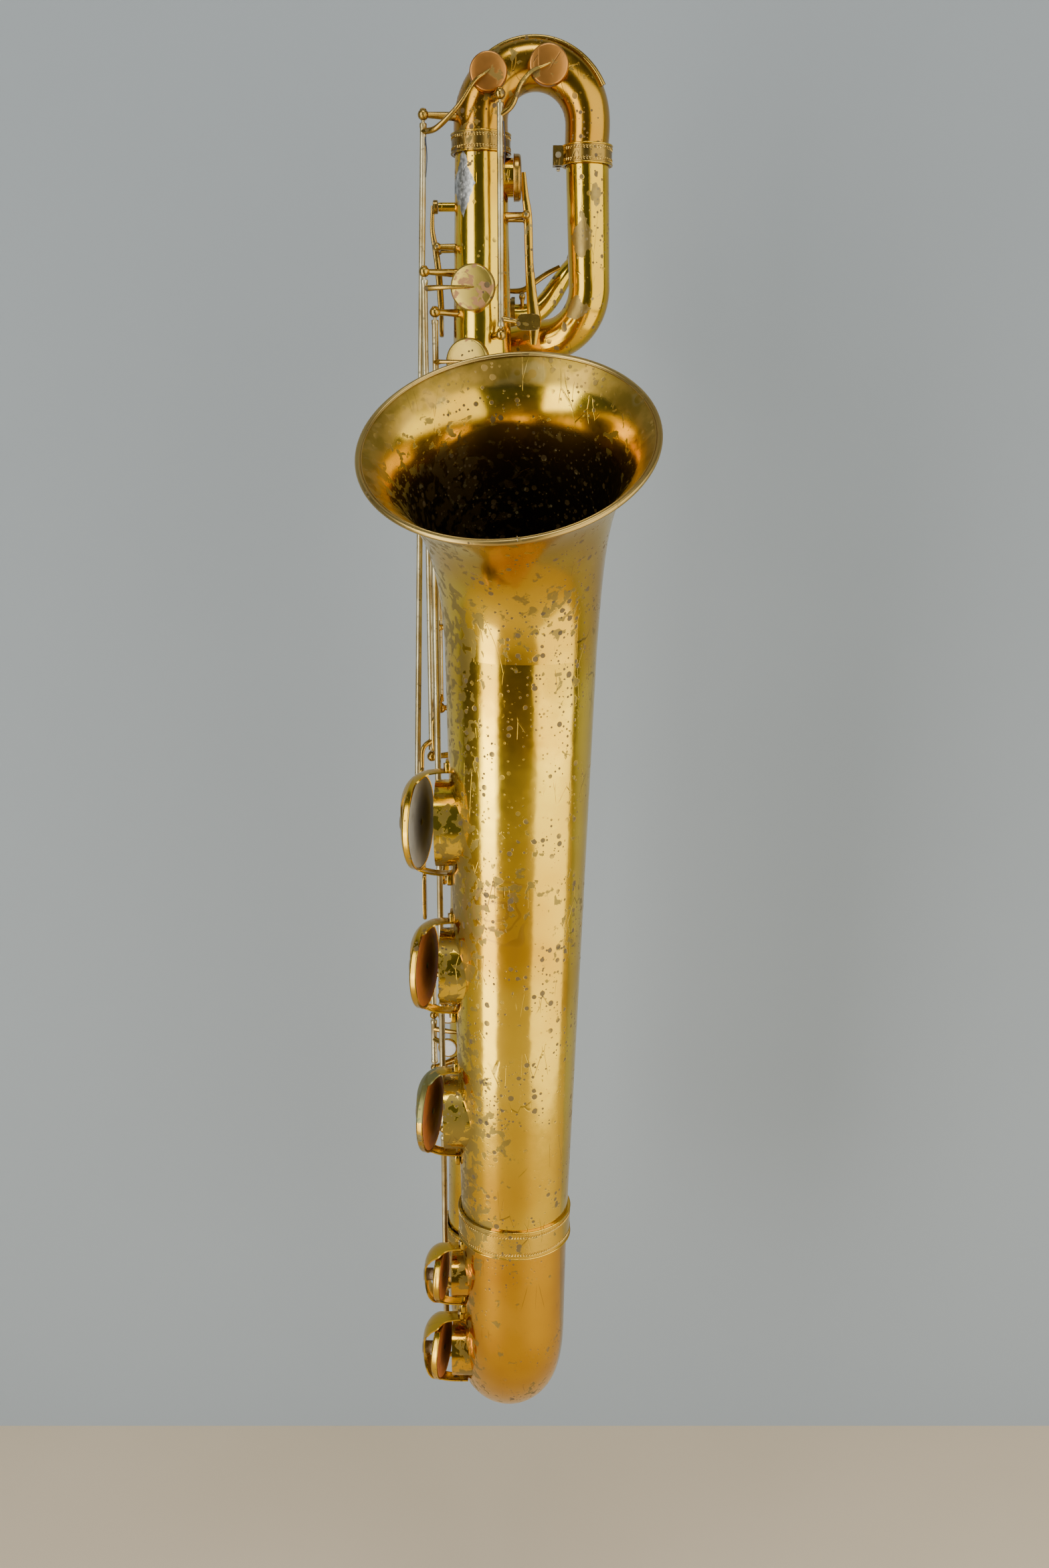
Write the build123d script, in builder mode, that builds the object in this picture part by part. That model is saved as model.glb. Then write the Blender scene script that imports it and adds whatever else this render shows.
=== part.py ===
from build123d import *
import os
from math import cos, exp, hypot, radians, sin

# Baritone saxophone. Heights are counted from the lowest point of the bottom bow, x and y from the
# body tube's axis: the bell stands towards -Y, the player towards +Y, the bell keys open towards -X.
# Every piece is written with the strap ring's centre as its origin.

os.makedirs("parts", exist_ok=True)

WALL = 1.2
FROM_BASE = (Align.CENTER, Align.CENTER, Align.MIN)
UP = (0, 0, 1)
FRONT = -90.0  # compass direction of a tone hole that faces the bell, in degrees from +X

# body tube: a long cone
BODY_BASE, BODY_TOP = 106.0, 1022.0
BODY_TOP_RADIUS = 19.8
BODY_TAPER = 0.0184

# bottom bow: a half ring from the body tube to the bell tube
BELL_FOOT = (24.7, -128.0)
BOW_RADIUS = hypot(*BELL_FOOT) / 2
BOW_HEIGHT = 104.2
BOW_BODY_END, BOW_BELL_END = 37.6, 40.4
BOW_TOP = 197.0

# bell: a straight cone, then a flare that curves forward to the rim
BELL_JOINT_RADIUS = 42.3
FLARE_START = (30.3, -142.0, 660.0)
FLARE_START_RADIUS = 53.8
RIM_CENTRE = (22.0, -210.0, 806.0)
RIM_NORMAL = Vector(-0.094, -0.59, 0.80).normalized()
RIM_RADIUS = 98.0
FLARE_WIDTH = 39.9
FLARE_LENGTH = 39.0

# upper bow: a half ring from the body tube to the loop tube
LOOP_X = 80.3
CROWN_HEIGHT = 1038.5
CROWN_START, CROWN_END = 20.4, 16.9
LOOP_TOP = 1015.0
LOOP_RADIUS = 16.4
LOOP_KNEE_RADIUS = 15.8
LOOP_TAPER_RUN = 30.0
PIGTAIL_RADIUS = 13.6
RECEIVER_START = (12.0, 77.0, 906.0)

# keywork
TUBE_RADIUS = 2.4
BORE_RADIUS = 1.25
ROD_RADIUS = 1.2
BALL_RADIUS = 3.3
STEM_RADIUS = 2.0
BALL_STEP = 5.6  # from the end of a hinge tube to the centre of its ball post
PAD_GAP = 0.3
PAD_THICK = 4.0
CUP_DEPTH = 5.5
CUP_WALL = 1.4
ARM_RADIUS = 2.0
CHIMNEY_WALL = 1.0

# strap ring: the origin of the part
RING_RADIUS, RING_WALL, RING_THICK = 6.0, 3.2, 3.0
RING_HEIGHT = 620.0


def body_radius(height):
    return BODY_TOP_RADIUS + (BODY_TOP - height) * BODY_TAPER


RING_CENTRE = (0.0, body_radius(RING_HEIGHT) + 11.0, RING_HEIGHT)


def bell_axis(height):
    """Centre of the bell tube's straight part at a height."""
    share = (height - BOW_TOP) / (FLARE_START[2] - BOW_TOP)
    share = max(share, 0.0)
    x = BELL_FOOT[0] + (FLARE_START[0] - BELL_FOOT[0]) * share
    y = BELL_FOOT[1] + (FLARE_START[1] - BELL_FOOT[1]) * share
    return Vector(x, y, height)


def save(name, piece):
    """Write one finished piece, moved so that the strap ring's centre is its origin."""
    moved = piece.moved(Location((-RING_CENTRE[0], -RING_CENTRE[1], -RING_CENTRE[2])))
    moved.label = name
    export_step(moved, f"parts/{name}.step")


# shapes that the pieces below are put together from; each adds to the part being built


def bar(start, end, radius, mode=Mode.ADD):
    run = Vector(*end) - Vector(*start)
    with Locations(Plane(origin=start, z_dir=run)):
        Cylinder(radius, run.length, align=FROM_BASE, mode=mode)


def spike(start, end, start_radius, end_radius):
    run = Vector(*end) - Vector(*start)
    with Locations(Plane(origin=start, z_dir=run)):
        Cone(start_radius, end_radius, run.length, align=FROM_BASE)


def ball(centre, radius=BALL_RADIUS, mode=Mode.ADD):
    with Locations(Location(tuple(centre))):
        Sphere(radius, mode=mode)


def rod_chain(points, radius=ARM_RADIUS):
    """A bent round arm: straight runs with rounded knees."""
    for start, end in zip(points, points[1:]):
        bar(start, end, radius)
    for point in points:
        ball(point, radius)


def disc(plane, lift, radius, height, mode=Mode.ADD):
    with Locations(plane.offset(lift)):
        Cylinder(radius, height, align=FROM_BASE, mode=mode)


def plate(centre, size, turn=0.0, mode=Mode.ADD):
    with Locations(Location(tuple(centre), (0, 0, turn))):
        Box(*size, mode=mode)


def lofted(stations, inset=0.0):
    """A round solid through stations of centre, direction, sideways direction and radius."""
    with BuildPart() as solid:
        for centre, direction, side, radius in stations:
            with BuildSketch(Plane(origin=centre, x_dir=side, z_dir=direction)):
                Circle(radius - inset)
        loft()
    return solid.part


# the air column's tubes as filled solids, which the walls are cut from and the fittings trimmed by


def body_solid(inset=0.0):
    with BuildPart() as solid:
        wide, narrow = body_radius(BODY_BASE) - inset, BODY_TOP_RADIUS - inset
        with Locations((0, 0, BODY_BASE)):
            Cone(wide, narrow, BODY_TOP - BODY_BASE, align=FROM_BASE)
    return solid.part


def bow_solid(inset=0.0):
    along = Vector(*BELL_FOOT, 0).normalized()
    middle = along * BOW_RADIUS + Vector(0, 0, BOW_HEIGHT)
    side = Vector(along.Y, -along.X, 0)
    stations = []
    for angle in range(0, 181, 30):
        turn = radians(angle)
        centre = middle - along * (BOW_RADIUS * cos(turn)) - Vector(0, 0, BOW_RADIUS * sin(turn))
        direction = along * sin(turn) - Vector(0, 0, cos(turn))
        radius = BOW_BODY_END + (BOW_BELL_END - BOW_BODY_END) * angle / 180
        stations.append((centre, direction, side, radius))
    with BuildPart() as solid:
        add(lofted(stations, inset))
        with Locations((*BELL_FOOT, BOW_HEIGHT)):
            Cone(BOW_BELL_END - inset, BELL_JOINT_RADIUS - inset, BOW_TOP - BOW_HEIGHT, align=FROM_BASE)
    return solid.part


def flare_stations():
    """Circles along the curved end of the bell; the radius grows exponentially towards the rim."""
    start, rim = Vector(*FLARE_START), Vector(*RIM_CENTRE)
    lean = (start - bell_axis(BOW_TOP)).normalized()
    pull = 62.0
    handles = (start, start + lean * pull, rim - RIM_NORMAL * pull, rim)
    length = 168.0
    stations = []
    steps = 14
    for share in (step / steps for step in range(steps + 1)):
        rest = 1 - share
        weights = (rest**3, 3 * rest**2 * share, 3 * rest * share**2, share**3)
        slopes = (3 * rest**2, 6 * rest * share, 3 * share**2)
        centre, direction = Vector(0, 0, 0), Vector(0, 0, 0)
        for weight, handle in zip(weights, handles):
            centre += handle * weight
        for slope, first, second in zip(slopes, handles, handles[1:]):
            direction += (second - first) * slope
        back = length * rest
        straight = FLARE_START_RADIUS - 0.5 + 0.029 * (length - back)
        radius = straight + FLARE_WIDTH * exp(-((back / FLARE_LENGTH) ** 0.85))
        direction = direction.normalized()
        side = (Vector(1, 0, 0) - direction * direction.X).normalized()
        stations.append((centre, direction, side, radius))
    return stations


def bell_solid(inset=0.0):
    """A skew cone from the bow's level end to the start of the flare, and the flare itself."""
    flare = flare_stations()
    foot = (bell_axis(BOW_TOP), Vector(*UP), flare[0][2], BELL_JOINT_RADIUS)
    with BuildPart() as solid:
        add(lofted((foot, flare[0]), inset))
        add(lofted(flare, inset))
    return solid.part


def crown_solid(inset=0.0):
    radius = LOOP_X / 2
    side = Vector(0, 1, 0)
    stations = [(Vector(0, 0, BODY_TOP), Vector(*UP), side, CROWN_START)]
    for angle in range(0, 181, 30):
        turn = radians(angle)
        centre = Vector(radius - radius * cos(turn), 0, CROWN_HEIGHT + radius * sin(turn))
        width = CROWN_START + (CROWN_END - CROWN_START) * angle / 180
        stations.append((centre, Vector(sin(turn), 0, cos(turn)), side, width))
    stations.append((Vector(LOOP_X, 0, LOOP_TOP), Vector(0, 0, -1), side, CROWN_END))
    return lofted(stations, inset)


def loop_solid(inset=0.0):
    """The tube that runs down, turns behind the body tube and ends in the neck receiver."""
    corners = (
        (LOOP_X, 0, LOOP_TOP),
        (84.0, 4.0, 886.0),
        (-2.0, 48.0, 880.0),
        (-2.0, 76.0, 906.0),
        RECEIVER_START,
    )
    with BuildPart() as solid:
        with BuildLine() as path:
            FilletPolyline(*corners, radius=[38.0, 17.5, 13.0])
        with BuildSketch(Plane(origin=corners[0], z_dir=Vector(*corners[1]) - Vector(*corners[0]))):
            Circle(PIGTAIL_RADIUS - inset)
        sweep(path=path.wires()[0])
        knee = path.edges().filter_by(GeomType.CIRCLE).sort_by(Axis.X)[-1]
        top = Vector(*corners[0])
        with Locations(Plane(origin=top, z_dir=knee @ 0 - top)):
            Cone(LOOP_RADIUS - inset, LOOP_KNEE_RADIUS - inset, (knee @ 0 - top).length, align=FROM_BASE)
    with BuildPart() as bend:
        with BuildSketch(Plane(origin=knee @ 0, z_dir=knee % 0)):
            Circle(LOOP_KNEE_RADIUS - inset)
        sweep(path=knee)
        with Locations(Plane(origin=knee @ 1, z_dir=knee % 1)):
            Cone(LOOP_KNEE_RADIUS - inset, PIGTAIL_RADIUS - inset, LOOP_TAPER_RUN, align=FROM_BASE)
        add(solid.part)
    return bend.part


NECK_STATIONS = (
    ((12, 77, 906), (1, 0, 0), 10.9),
    ((28, 77, 906), (1, 0, 0.08), 10.0),
    ((44, 79, 911), (0.82, 0.15, 0.55), 8.8),
    ((60, 86, 930), (0.55, 0.4, 0.75), 7.9),
    ((74, 100, 949), (0.45, 0.78, 0.45), 7.2),
    ((84, 125, 958), (0, 1, 0), 6.8),
    ((84, 150, 958), (0, 1, 0), 6.5),
)


def neck_solid(inset=0.0):
    stations = []
    side = Vector(0, 1, 0)
    for centre, direction, radius in NECK_STATIONS:
        direction = Vector(*direction).normalized()
        side = (side - direction * side.dot(direction)).normalized()
        stations.append((centre, direction, side, radius - inset))
    return lofted(stations)


BODY, BOW, BELL = body_solid(), bow_solid(), bell_solid()
CROWN, LOOP, NECK = crown_solid(), loop_solid(), neck_solid()


# keys: where each tone hole is, how wide it is, and where its hinge runs


class Key:
    """A key whose cup closes one tone hole and turns on an upright hinge."""

    def __init__(self, name, centre, facing, rim, pad, hinge, tube, opened):
        self.name = name
        self.out = Vector(cos(radians(facing)), sin(radians(facing)), 0)
        self.axis_point = Vector(*centre)
        self.rim = rim  # distance from the tube's axis to the tone hole's rim
        self.pad = pad  # pad radius
        self.hinge = hinge
        self.tube = tube
        self.opened = opened  # degrees that the rest position is turned from closed
        self.plane = Plane(origin=self.axis_point + self.out * rim, x_dir=UP, z_dir=self.out)
        self.back = self.plane.origin + self.out * (PAD_GAP + CUP_DEPTH + 1.0)

    def hinge_at(self, height):
        return Vector(*self.hinge, height)

    def rest(self, piece):
        return piece.rotate(Axis(self.hinge_at(0), UP), -self.opened)


def front_key(name, height, lean, pad, reach, tube, opened):
    """A key on the body tube: its hinge runs beside the tone hole, at the left of the bell."""
    rim = body_radius(height) + 5.0
    out = radians(FRONT - lean)
    hinge = (
        cos(out) * (rim + 2) + reach * sin(out),
        sin(out) * (rim + 2) - reach * cos(out),
    )
    return Key(name, (0, 0, height), FRONT - lean, rim, pad, hinge, tube, opened)


BELL_HINGE = (-34.0, -88.0)
LOW_C_CENTRE = (22.9, -118.5, 70.0)

BELL_KEYS = [
    Key("low_a_key", bell_axis(531), 180, 61.7, 34.3, BELL_HINGE, (494, 740), 12.0),
    Key("low_bflat_key", bell_axis(416), 180, 58.8, 31.4, BELL_HINGE, (378, 482), 12.0),
    Key("low_b_key", bell_axis(292), 180, 55.8, 30.5, BELL_HINGE, (260, 366), 12.0),
    Key("low_csharp_key", bell_axis(145), 180, 50.7, 20.0, BELL_HINGE, (116, 248), 9.0),
    Key("low_c_key", LOW_C_CENTRE, 180, 49.9, 24.0, BELL_HINGE, (46, 104), 12.0),
]
GUARD_REACH = {  # how far left of the body tube's axis each guard comes
    "low_a_key": 59.5,
    "low_bflat_key": 55.0,
    "low_b_key": 52.5,
    "low_csharp_key": 49.0,
    "low_c_key": 52.0,
}

STACK_HINGE = (-44.0, -40.0)
LOWER_STACK = [
    Key("f_key", (0, 0, 372), FRONT, 37.5, 18.0, STACK_HINGE, (339, 395), 7.5),
    Key("e_key", (0, 0, 322), FRONT, 38.2, 18.0, STACK_HINGE, (291, 330), 7.5),
    Key("d_key", (0, 0, 272), FRONT, 39.0, 18.0, STACK_HINGE, (243, 282), 7.5),
]
PEARL_HEIGHTS = {"f_key": 343.0, "e_key": 313.0, "d_key": 262.0}

UPPER_HINGE = (-36.0, -33.0)
UPPER_STACK = [
    Key("b_key", (0, 0, 790), FRONT, 29.2, 13.5, UPPER_HINGE, (772, 812), 7.0),
    Key("a_key", (0, 0, 742), FRONT, 30.0, 14.5, UPPER_HINGE, (722, 761), 7.0),
    Key("g_key", (0, 0, 692), FRONT, 31.0, 15.5, UPPER_HINGE, (668, 711), 7.0),
]

SIDE_KEYS = [
    front_key("side_c_key", 918.6, 12.0, 15.6, 38.0, (560, 925), 0.0),
    front_key("side_bflat_key", 865.0, 20.0, 16.0, 27.0, (600, 896), 0.0),
]

# the two highest keys close tone holes on the upper bow
HIGH_E = Key("high_e_key", (6.4, 0, 1068), FRONT, 21.6, 12.4, (-42.6, -12.0), (500, 1036), 0.0)
HIGH_F = Key("high_f_key", (50.5, 0, 1072.6), FRONT, 21.6, 13.0, (15.0, -32.0), (890, 1046), 0.0)
HIGH_E_LEAN = 0.0265  # sideways run of the long hinge for each unit of height

BODY_KEYS = LOWER_STACK + UPPER_STACK + SIDE_KEYS


def rod_point(key, height):
    """A point on a key's hinge line; the longest rod leans outwards as it runs down."""
    lean = HIGH_E_LEAN * (HIGH_E.tube[1] - height) if key is HIGH_E else 0.0
    return Vector(key.hinge[0] - lean, key.hinge[1], height)


# tubes


def chimneys(keys):
    """Tone hole walls standing out of a tube, added to the part being built."""
    for key in keys:
        bar(key.axis_point, key.plane.origin, key.pad - 2.0)


def tone_holes(keys):
    for key in keys:
        bar(key.axis_point, key.plane.origin + key.out, key.pad - 2.0 - CHIMNEY_WALL, Mode.SUBTRACT)


PALM_HEIGHT, PALM_RIM, PALM_PAD = 1000.0, 24.4, 15.5
PALM_PLANE = Plane(origin=(PALM_RIM, 0, PALM_HEIGHT), x_dir=UP, z_dir=(1, 0, 0))
OCTAVE_POINT = Vector(-33.0, 5.0, 980.0)
OCTAVE_PIP_RADIUS = 3.4

with BuildPart() as body_tube:
    add(BODY)
    chimneys(BODY_KEYS)
    bar((0, 0, PALM_HEIGHT), PALM_PLANE.origin, PALM_PAD - 1.5)
    bar((0, OCTAVE_POINT.Y, OCTAVE_POINT.Z), OCTAVE_POINT, OCTAVE_PIP_RADIUS)
    add(body_solid(WALL), mode=Mode.SUBTRACT)
    tone_holes(BODY_KEYS)
    bar((0, 0, PALM_HEIGHT), PALM_PLANE.origin + Vector(1, 0, 0), PALM_PAD - 2.5, Mode.SUBTRACT)
    bar((-10, OCTAVE_POINT.Y, OCTAVE_POINT.Z), OCTAVE_POINT - Vector(1, 0, 0), 1.2, Mode.SUBTRACT)
save("body_tube", body_tube.part)

with BuildPart() as bottom_bow:
    add(BOW)
    chimneys(BELL_KEYS[3:])
    add(bow_solid(WALL), mode=Mode.SUBTRACT)
    tone_holes(BELL_KEYS[3:])
save("bottom_bow", bottom_bow.part)

with BuildPart() as bell:
    add(BELL)
    chimneys(BELL_KEYS[:3])
    add(bell_solid(WALL + 0.4), mode=Mode.SUBTRACT)
    tone_holes(BELL_KEYS[:3])
save("bell", bell.part)

with BuildPart() as upper_bow:
    add(CROWN)
    chimneys((HIGH_E, HIGH_F))
    add(crown_solid(WALL), mode=Mode.SUBTRACT)
    tone_holes((HIGH_E, HIGH_F))
save("upper_bow", upper_bow.part)

with BuildPart() as loop_tube:
    add(LOOP)
    add(loop_solid(WALL), mode=Mode.SUBTRACT)
    add(CROWN, mode=Mode.SUBTRACT)
save("loop_tube", loop_tube.part)

with BuildPart() as neck:
    add(NECK)
    add(neck_solid(WALL), mode=Mode.SUBTRACT)
save("neck", neck.part)


# fittings on the tubes


RING_BAND = 14.0


def ring(centre, height, inner, outer):
    with Locations((*centre, height)):
        Cylinder(outer, RING_BAND, align=FROM_BASE)
        Cylinder(inner, RING_BAND, align=FROM_BASE, mode=Mode.SUBTRACT)


with BuildPart() as bell_rim:
    with Locations(Plane(origin=RIM_CENTRE, z_dir=RIM_NORMAL)):
        Torus(RIM_RADIUS, 2.0)
save("bell_rim", bell_rim.part)

with BuildPart() as ferrules:
    ring((0, 0), 1016, CROWN_START, CROWN_START + 1.9)
    ring((LOOP_X, 0), 1008, CROWN_END, CROWN_END + 1.9)
    for solid in (CROWN, LOOP):
        add(solid, mode=Mode.SUBTRACT)
save("ferrules", ferrules.part)

LYRE_CENTRE = (LOOP_X - 22.0, 0.0, 1008.0)
LYRE_BORE = 2.5

with BuildPart() as lyre_socket:
    with Locations(LYRE_CENTRE):
        Box(8.0, 10.0, RING_BAND, align=FROM_BASE)
        Cylinder(LYRE_BORE, RING_BAND, align=FROM_BASE, mode=Mode.SUBTRACT)
    with Locations((LOOP_X, 0, 1008)):
        Cylinder(CROWN_END + 1.9, RING_BAND, align=FROM_BASE, mode=Mode.SUBTRACT)
save("lyre_socket", lyre_socket.part)

with BuildPart() as bow_rings:
    with Locations((0, 0, BODY_BASE - 4)):
        Cylinder(BOW_BODY_END + 1.8, 16, align=FROM_BASE)
        Cylinder(BOW_BODY_END + 0.05, 16, align=FROM_BASE, mode=Mode.SUBTRACT)
    with Locations((*BELL_FOOT, BOW_TOP - 11)):
        Cylinder(BELL_JOINT_RADIUS + 2.4, 24, align=FROM_BASE)
        Cylinder(BELL_JOINT_RADIUS + 0.7, 24, align=FROM_BASE, mode=Mode.SUBTRACT)
save("bow_rings", bow_rings.part)

WIRE_RADIUS = 1.9
WIRE_TURN = radians(28)  # how far the wire is turned from the crown's top towards the bell
WIRE_SEAT = 18.6

with BuildPart() as bow_guard_wire:
    wire_centre = (LOOP_X / 2, -WIRE_SEAT * sin(WIRE_TURN), CROWN_HEIGHT)
    with BuildLine(Plane(origin=wire_centre, x_dir=(1, 0, 0), z_dir=(0, -1, 0))) as path:
        CenterArc((0, 0), LOOP_X / 2 + WIRE_SEAT * cos(WIRE_TURN), 25, 115)
    with BuildSketch(Plane(origin=path.line @ 0, z_dir=path.line % 0)):
        Circle(WIRE_RADIUS)
    sweep(path=path.line)
    add(CROWN, mode=Mode.SUBTRACT)
save("bow_guard_wire", bow_guard_wire.part)

# hinge lines: the rods, and the ball posts that hold them

BELL_POSTS = (40.4, 110, 254, 372, 488, 745.6)
STACK_POSTS = (237.4, 286.5, 334.5, 400.6)
UPPER_POSTS = (662.4, 716.5, 766.5, 817.6)
PALM_HINGE = (34.0, 0.0, 972.0)
OCTAVE_HINGE = (-34.0, 5.0, 950.0)
NECK_HINGE = (31.0, 77.0, 921.5)
CROSS_HALF = {PALM_HINGE: 7.0, OCTAVE_HINGE: 6.0, NECK_HINGE: 4.0}  # half lengths of level hinge tubes


def cross_end(hinge, sign, extra=0.0):
    """End of a hinge tube that lies level, across the instrument."""
    return Vector(hinge[0], hinge[1] + sign * (CROSS_HALF[hinge] + extra), hinge[2])


def end_posts(key):
    return rod_point(key, key.tube[0] - BALL_STEP), rod_point(key, key.tube[1] + BALL_STEP)


STACK_POINTS = [Vector(*STACK_HINGE, height) for height in STACK_POSTS]
UPPER_POINTS = [Vector(*UPPER_HINGE, height) for height in UPPER_POSTS]
BELL_POINTS = [Vector(*BELL_HINGE, height) for height in BELL_POSTS]
SINGLE_KEYS = SIDE_KEYS + [HIGH_E, HIGH_F]
ROD_LINES = [(points[0], points[-1]) for points in (STACK_POINTS, UPPER_POINTS, BELL_POINTS)]
ROD_LINES += [end_posts(key) for key in SINGLE_KEYS]
ROD_LINES += [(cross_end(h, -1, BALL_STEP), cross_end(h, 1, BALL_STEP)) for h in CROSS_HALF]

with BuildPart() as hinge_rods:
    for start, end in ROD_LINES:
        reach = (end - start).normalized() * (BALL_RADIUS + 0.4)
        bar(start - reach, end + reach, ROD_RADIUS)
save("hinge_rods", hinge_rods.part)

with BuildPart() as ball_posts:
    for point in STACK_POINTS + UPPER_POINTS:
        ball(point)
        spike(point, (0, 0, point.Z), STEM_RADIUS, 4.5)
    for key in SINGLE_KEYS:
        for point in end_posts(key):
            ball(point)
            spike(point, (2.0, 0, point.Z), STEM_RADIUS, 4.5)
    for hinge in (PALM_HINGE, OCTAVE_HINGE):
        for sign in (-1, 1):
            point = cross_end(hinge, sign, BALL_STEP)
            ball(point)
            spike(point, (0, 0, point.Z), STEM_RADIUS, 3.6)
    for sign in (-1, 1):
        point = cross_end(NECK_HINGE, sign, BALL_STEP)
        ball(point, 2.6)
        bar(point, (NECK_HINGE[0], NECK_HINGE[1], 906), 1.6)
    for point in BELL_POINTS:
        ball(point)
        if point.Z < BOW_HEIGHT / 2:
            spike(point, (17.0, -92.0, 46.0), STEM_RADIUS, 4.5)
        elif point.Z > FLARE_START[2]:
            spike(point, (28.0, -158.0, point.Z), STEM_RADIUS, 4.5)
        else:
            spike(point, bell_axis(point.Z), STEM_RADIUS, 4.5)
    for solid in (BODY, BOW, BELL, CROWN, NECK, hinge_rods.part):
        add(solid, mode=Mode.SUBTRACT)
save("ball_posts", ball_posts.part)

BRACE_HEIGHT = 600.0

with BuildPart() as bell_brace:
    body_end, bell_end = Vector(0, 0, BRACE_HEIGHT), bell_axis(BRACE_HEIGHT)
    run = (bell_end - body_end).normalized()
    body_skin = body_radius(BRACE_HEIGHT)
    bell_skin = (bell_end - body_end).length - 52.3
    bar(body_end, bell_end, 4.0)
    bar(body_end, run * (body_skin + 2.5) + body_end, 13.0)
    bar(run * (bell_skin - 2.5) + body_end, bell_end, 15.0)
    with Locations(Plane(origin=body_end + run * (body_skin + bell_skin) / 2, z_dir=UP)):
        Cylinder(16.0, 5.0)
        Cylinder(10.5, 5.0, mode=Mode.SUBTRACT)
    add(BODY, mode=Mode.SUBTRACT)
    add(BELL, mode=Mode.SUBTRACT)
save("bell_brace", bell_brace.part)

# guards over the five low keys

GUARD_GAP = 3.0
GUARD_THICK = 2.0
GUARD_WIDE = 14.0
GUARD_CORNER = 9.0
FOOT = (7.0, 12.0, 9.0)


def skin(key):
    """Where the tube's left side is, at the height of a low key."""
    if key.axis_point.Z > BOW_TOP:
        share = (key.axis_point.Z - BOW_TOP) / (FLARE_START[2] - BOW_TOP)
        return key.axis_point.X - BELL_JOINT_RADIUS - (FLARE_START_RADIUS - BELL_JOINT_RADIUS) * share
    return key.axis_point.X - BOW_BELL_END


def guard_half(key):
    return key.pad + CUP_WALL + GUARD_GAP + GUARD_THICK


def foot_centres(key):
    signs = (1,) if key.name == "low_c_key" else (-1, 1)
    rise = guard_half(key) + FOOT[2] / 2 - GUARD_THICK
    return [Vector(skin(key), key.axis_point.Y, key.axis_point.Z + sign * rise) for sign in signs]


with BuildPart() as key_guards:
    for key in BELL_KEYS:
        centre = key.axis_point
        deep, tall = GUARD_REACH[key.name] + centre.X, 2 * guard_half(key)
        with BuildSketch(Plane(origin=centre, x_dir=(1, 0, 0), z_dir=(0, -1, 0))):
            with Locations((-deep / 2, 0)):
                RectangleRounded(deep, tall, GUARD_CORNER)
                inside = (deep - 2 * GUARD_THICK, tall - 2 * GUARD_THICK)
                RectangleRounded(*inside, GUARD_CORNER - GUARD_THICK, mode=Mode.SUBTRACT)
        extrude(amount=GUARD_WIDE / 2, both=True)
        for foot in foot_centres(key):
            plate(foot, FOOT)
    add(BOW, mode=Mode.SUBTRACT)
    add(BELL, mode=Mode.SUBTRACT)
save("key_guards", key_guards.part)

with BuildPart() as guard_screws:
    for key in BELL_KEYS:
        for foot in foot_centres(key):
            face = foot - Vector(FOOT[0] / 2, 0, 0)
            bar(face, face - Vector(1.4, 0, 0), 2.4)
save("guard_screws", guard_screws.part)

with BuildPart() as guard_bumpers:
    for key in BELL_KEYS:
        inner = Vector(GUARD_THICK - GUARD_REACH[key.name], key.axis_point.Y, key.axis_point.Z)
        lift = abs(key.hinge[1] - key.axis_point.Y) * sin(radians(key.opened))
        arm = key.back.X - ARM_RADIUS - lift
        bar(inner, (arm - 0.6, inner.Y, inner.Z), 5.0)
save("guard_bumpers", guard_bumpers.part)

# strap ring, thumb hook and thumb rest on the player's side

with BuildPart() as strap_ring:
    with Locations(Plane(origin=RING_CENTRE, x_dir=(0, 1, 0), z_dir=(1, 0, 0))):
        Cylinder(RING_RADIUS + RING_WALL, RING_THICK)
    plate((0, body_radius(RING_HEIGHT) - 1, RING_HEIGHT), (13, 8, 30))
    with Locations(Plane(origin=RING_CENTRE, x_dir=(0, 1, 0), z_dir=(1, 0, 0))):
        Cylinder(RING_RADIUS, RING_THICK + 10, mode=Mode.SUBTRACT)
    add(BODY, mode=Mode.SUBTRACT)
save("strap_ring", strap_ring.part)

HOOK_HEIGHT = 330.0

with BuildPart() as thumb_hook:
    back = body_radius(HOOK_HEIGHT)
    plate((0, back - 1, HOOK_HEIGHT), (14, 8, 34))
    rod_chain(((0, back + 2, 322), (0, back + 16, 326), (0, back + 26, 336), (0, back + 29, 350)), 3.2)
    add(BODY, mode=Mode.SUBTRACT)
save("thumb_hook", thumb_hook.part)

with BuildPart() as thumb_rest:
    rest_plane = Plane(origin=(0, body_radius(850) - 2, 850), x_dir=UP, z_dir=(0, 1, 0))
    disc(rest_plane, 0, 9.0, 5.0)
    disc(rest_plane, 5.0, 7.0, 1.5)
    add(BODY, mode=Mode.SUBTRACT)
save("thumb_rest", thumb_rest.part)

# neck receiver, neck fittings and mouthpiece

RECEIVER_PLANE = Plane(origin=RECEIVER_START, x_dir=UP, z_dir=(1, 0, 0))

with BuildPart() as neck_receiver:
    disc(RECEIVER_PLANE, 0, 14.4, 12.0)
    disc(RECEIVER_PLANE, 10.0, 15.4, 3.0)
    plate((RECEIVER_START[0] + 7, 77, 890), (10, 9, 8))
    disc(RECEIVER_PLANE, 0, 11.0, 14.0, Mode.SUBTRACT)
    add(LOOP, mode=Mode.SUBTRACT)
    add(NECK, mode=Mode.SUBTRACT)
save("neck_receiver", neck_receiver.part)

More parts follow.
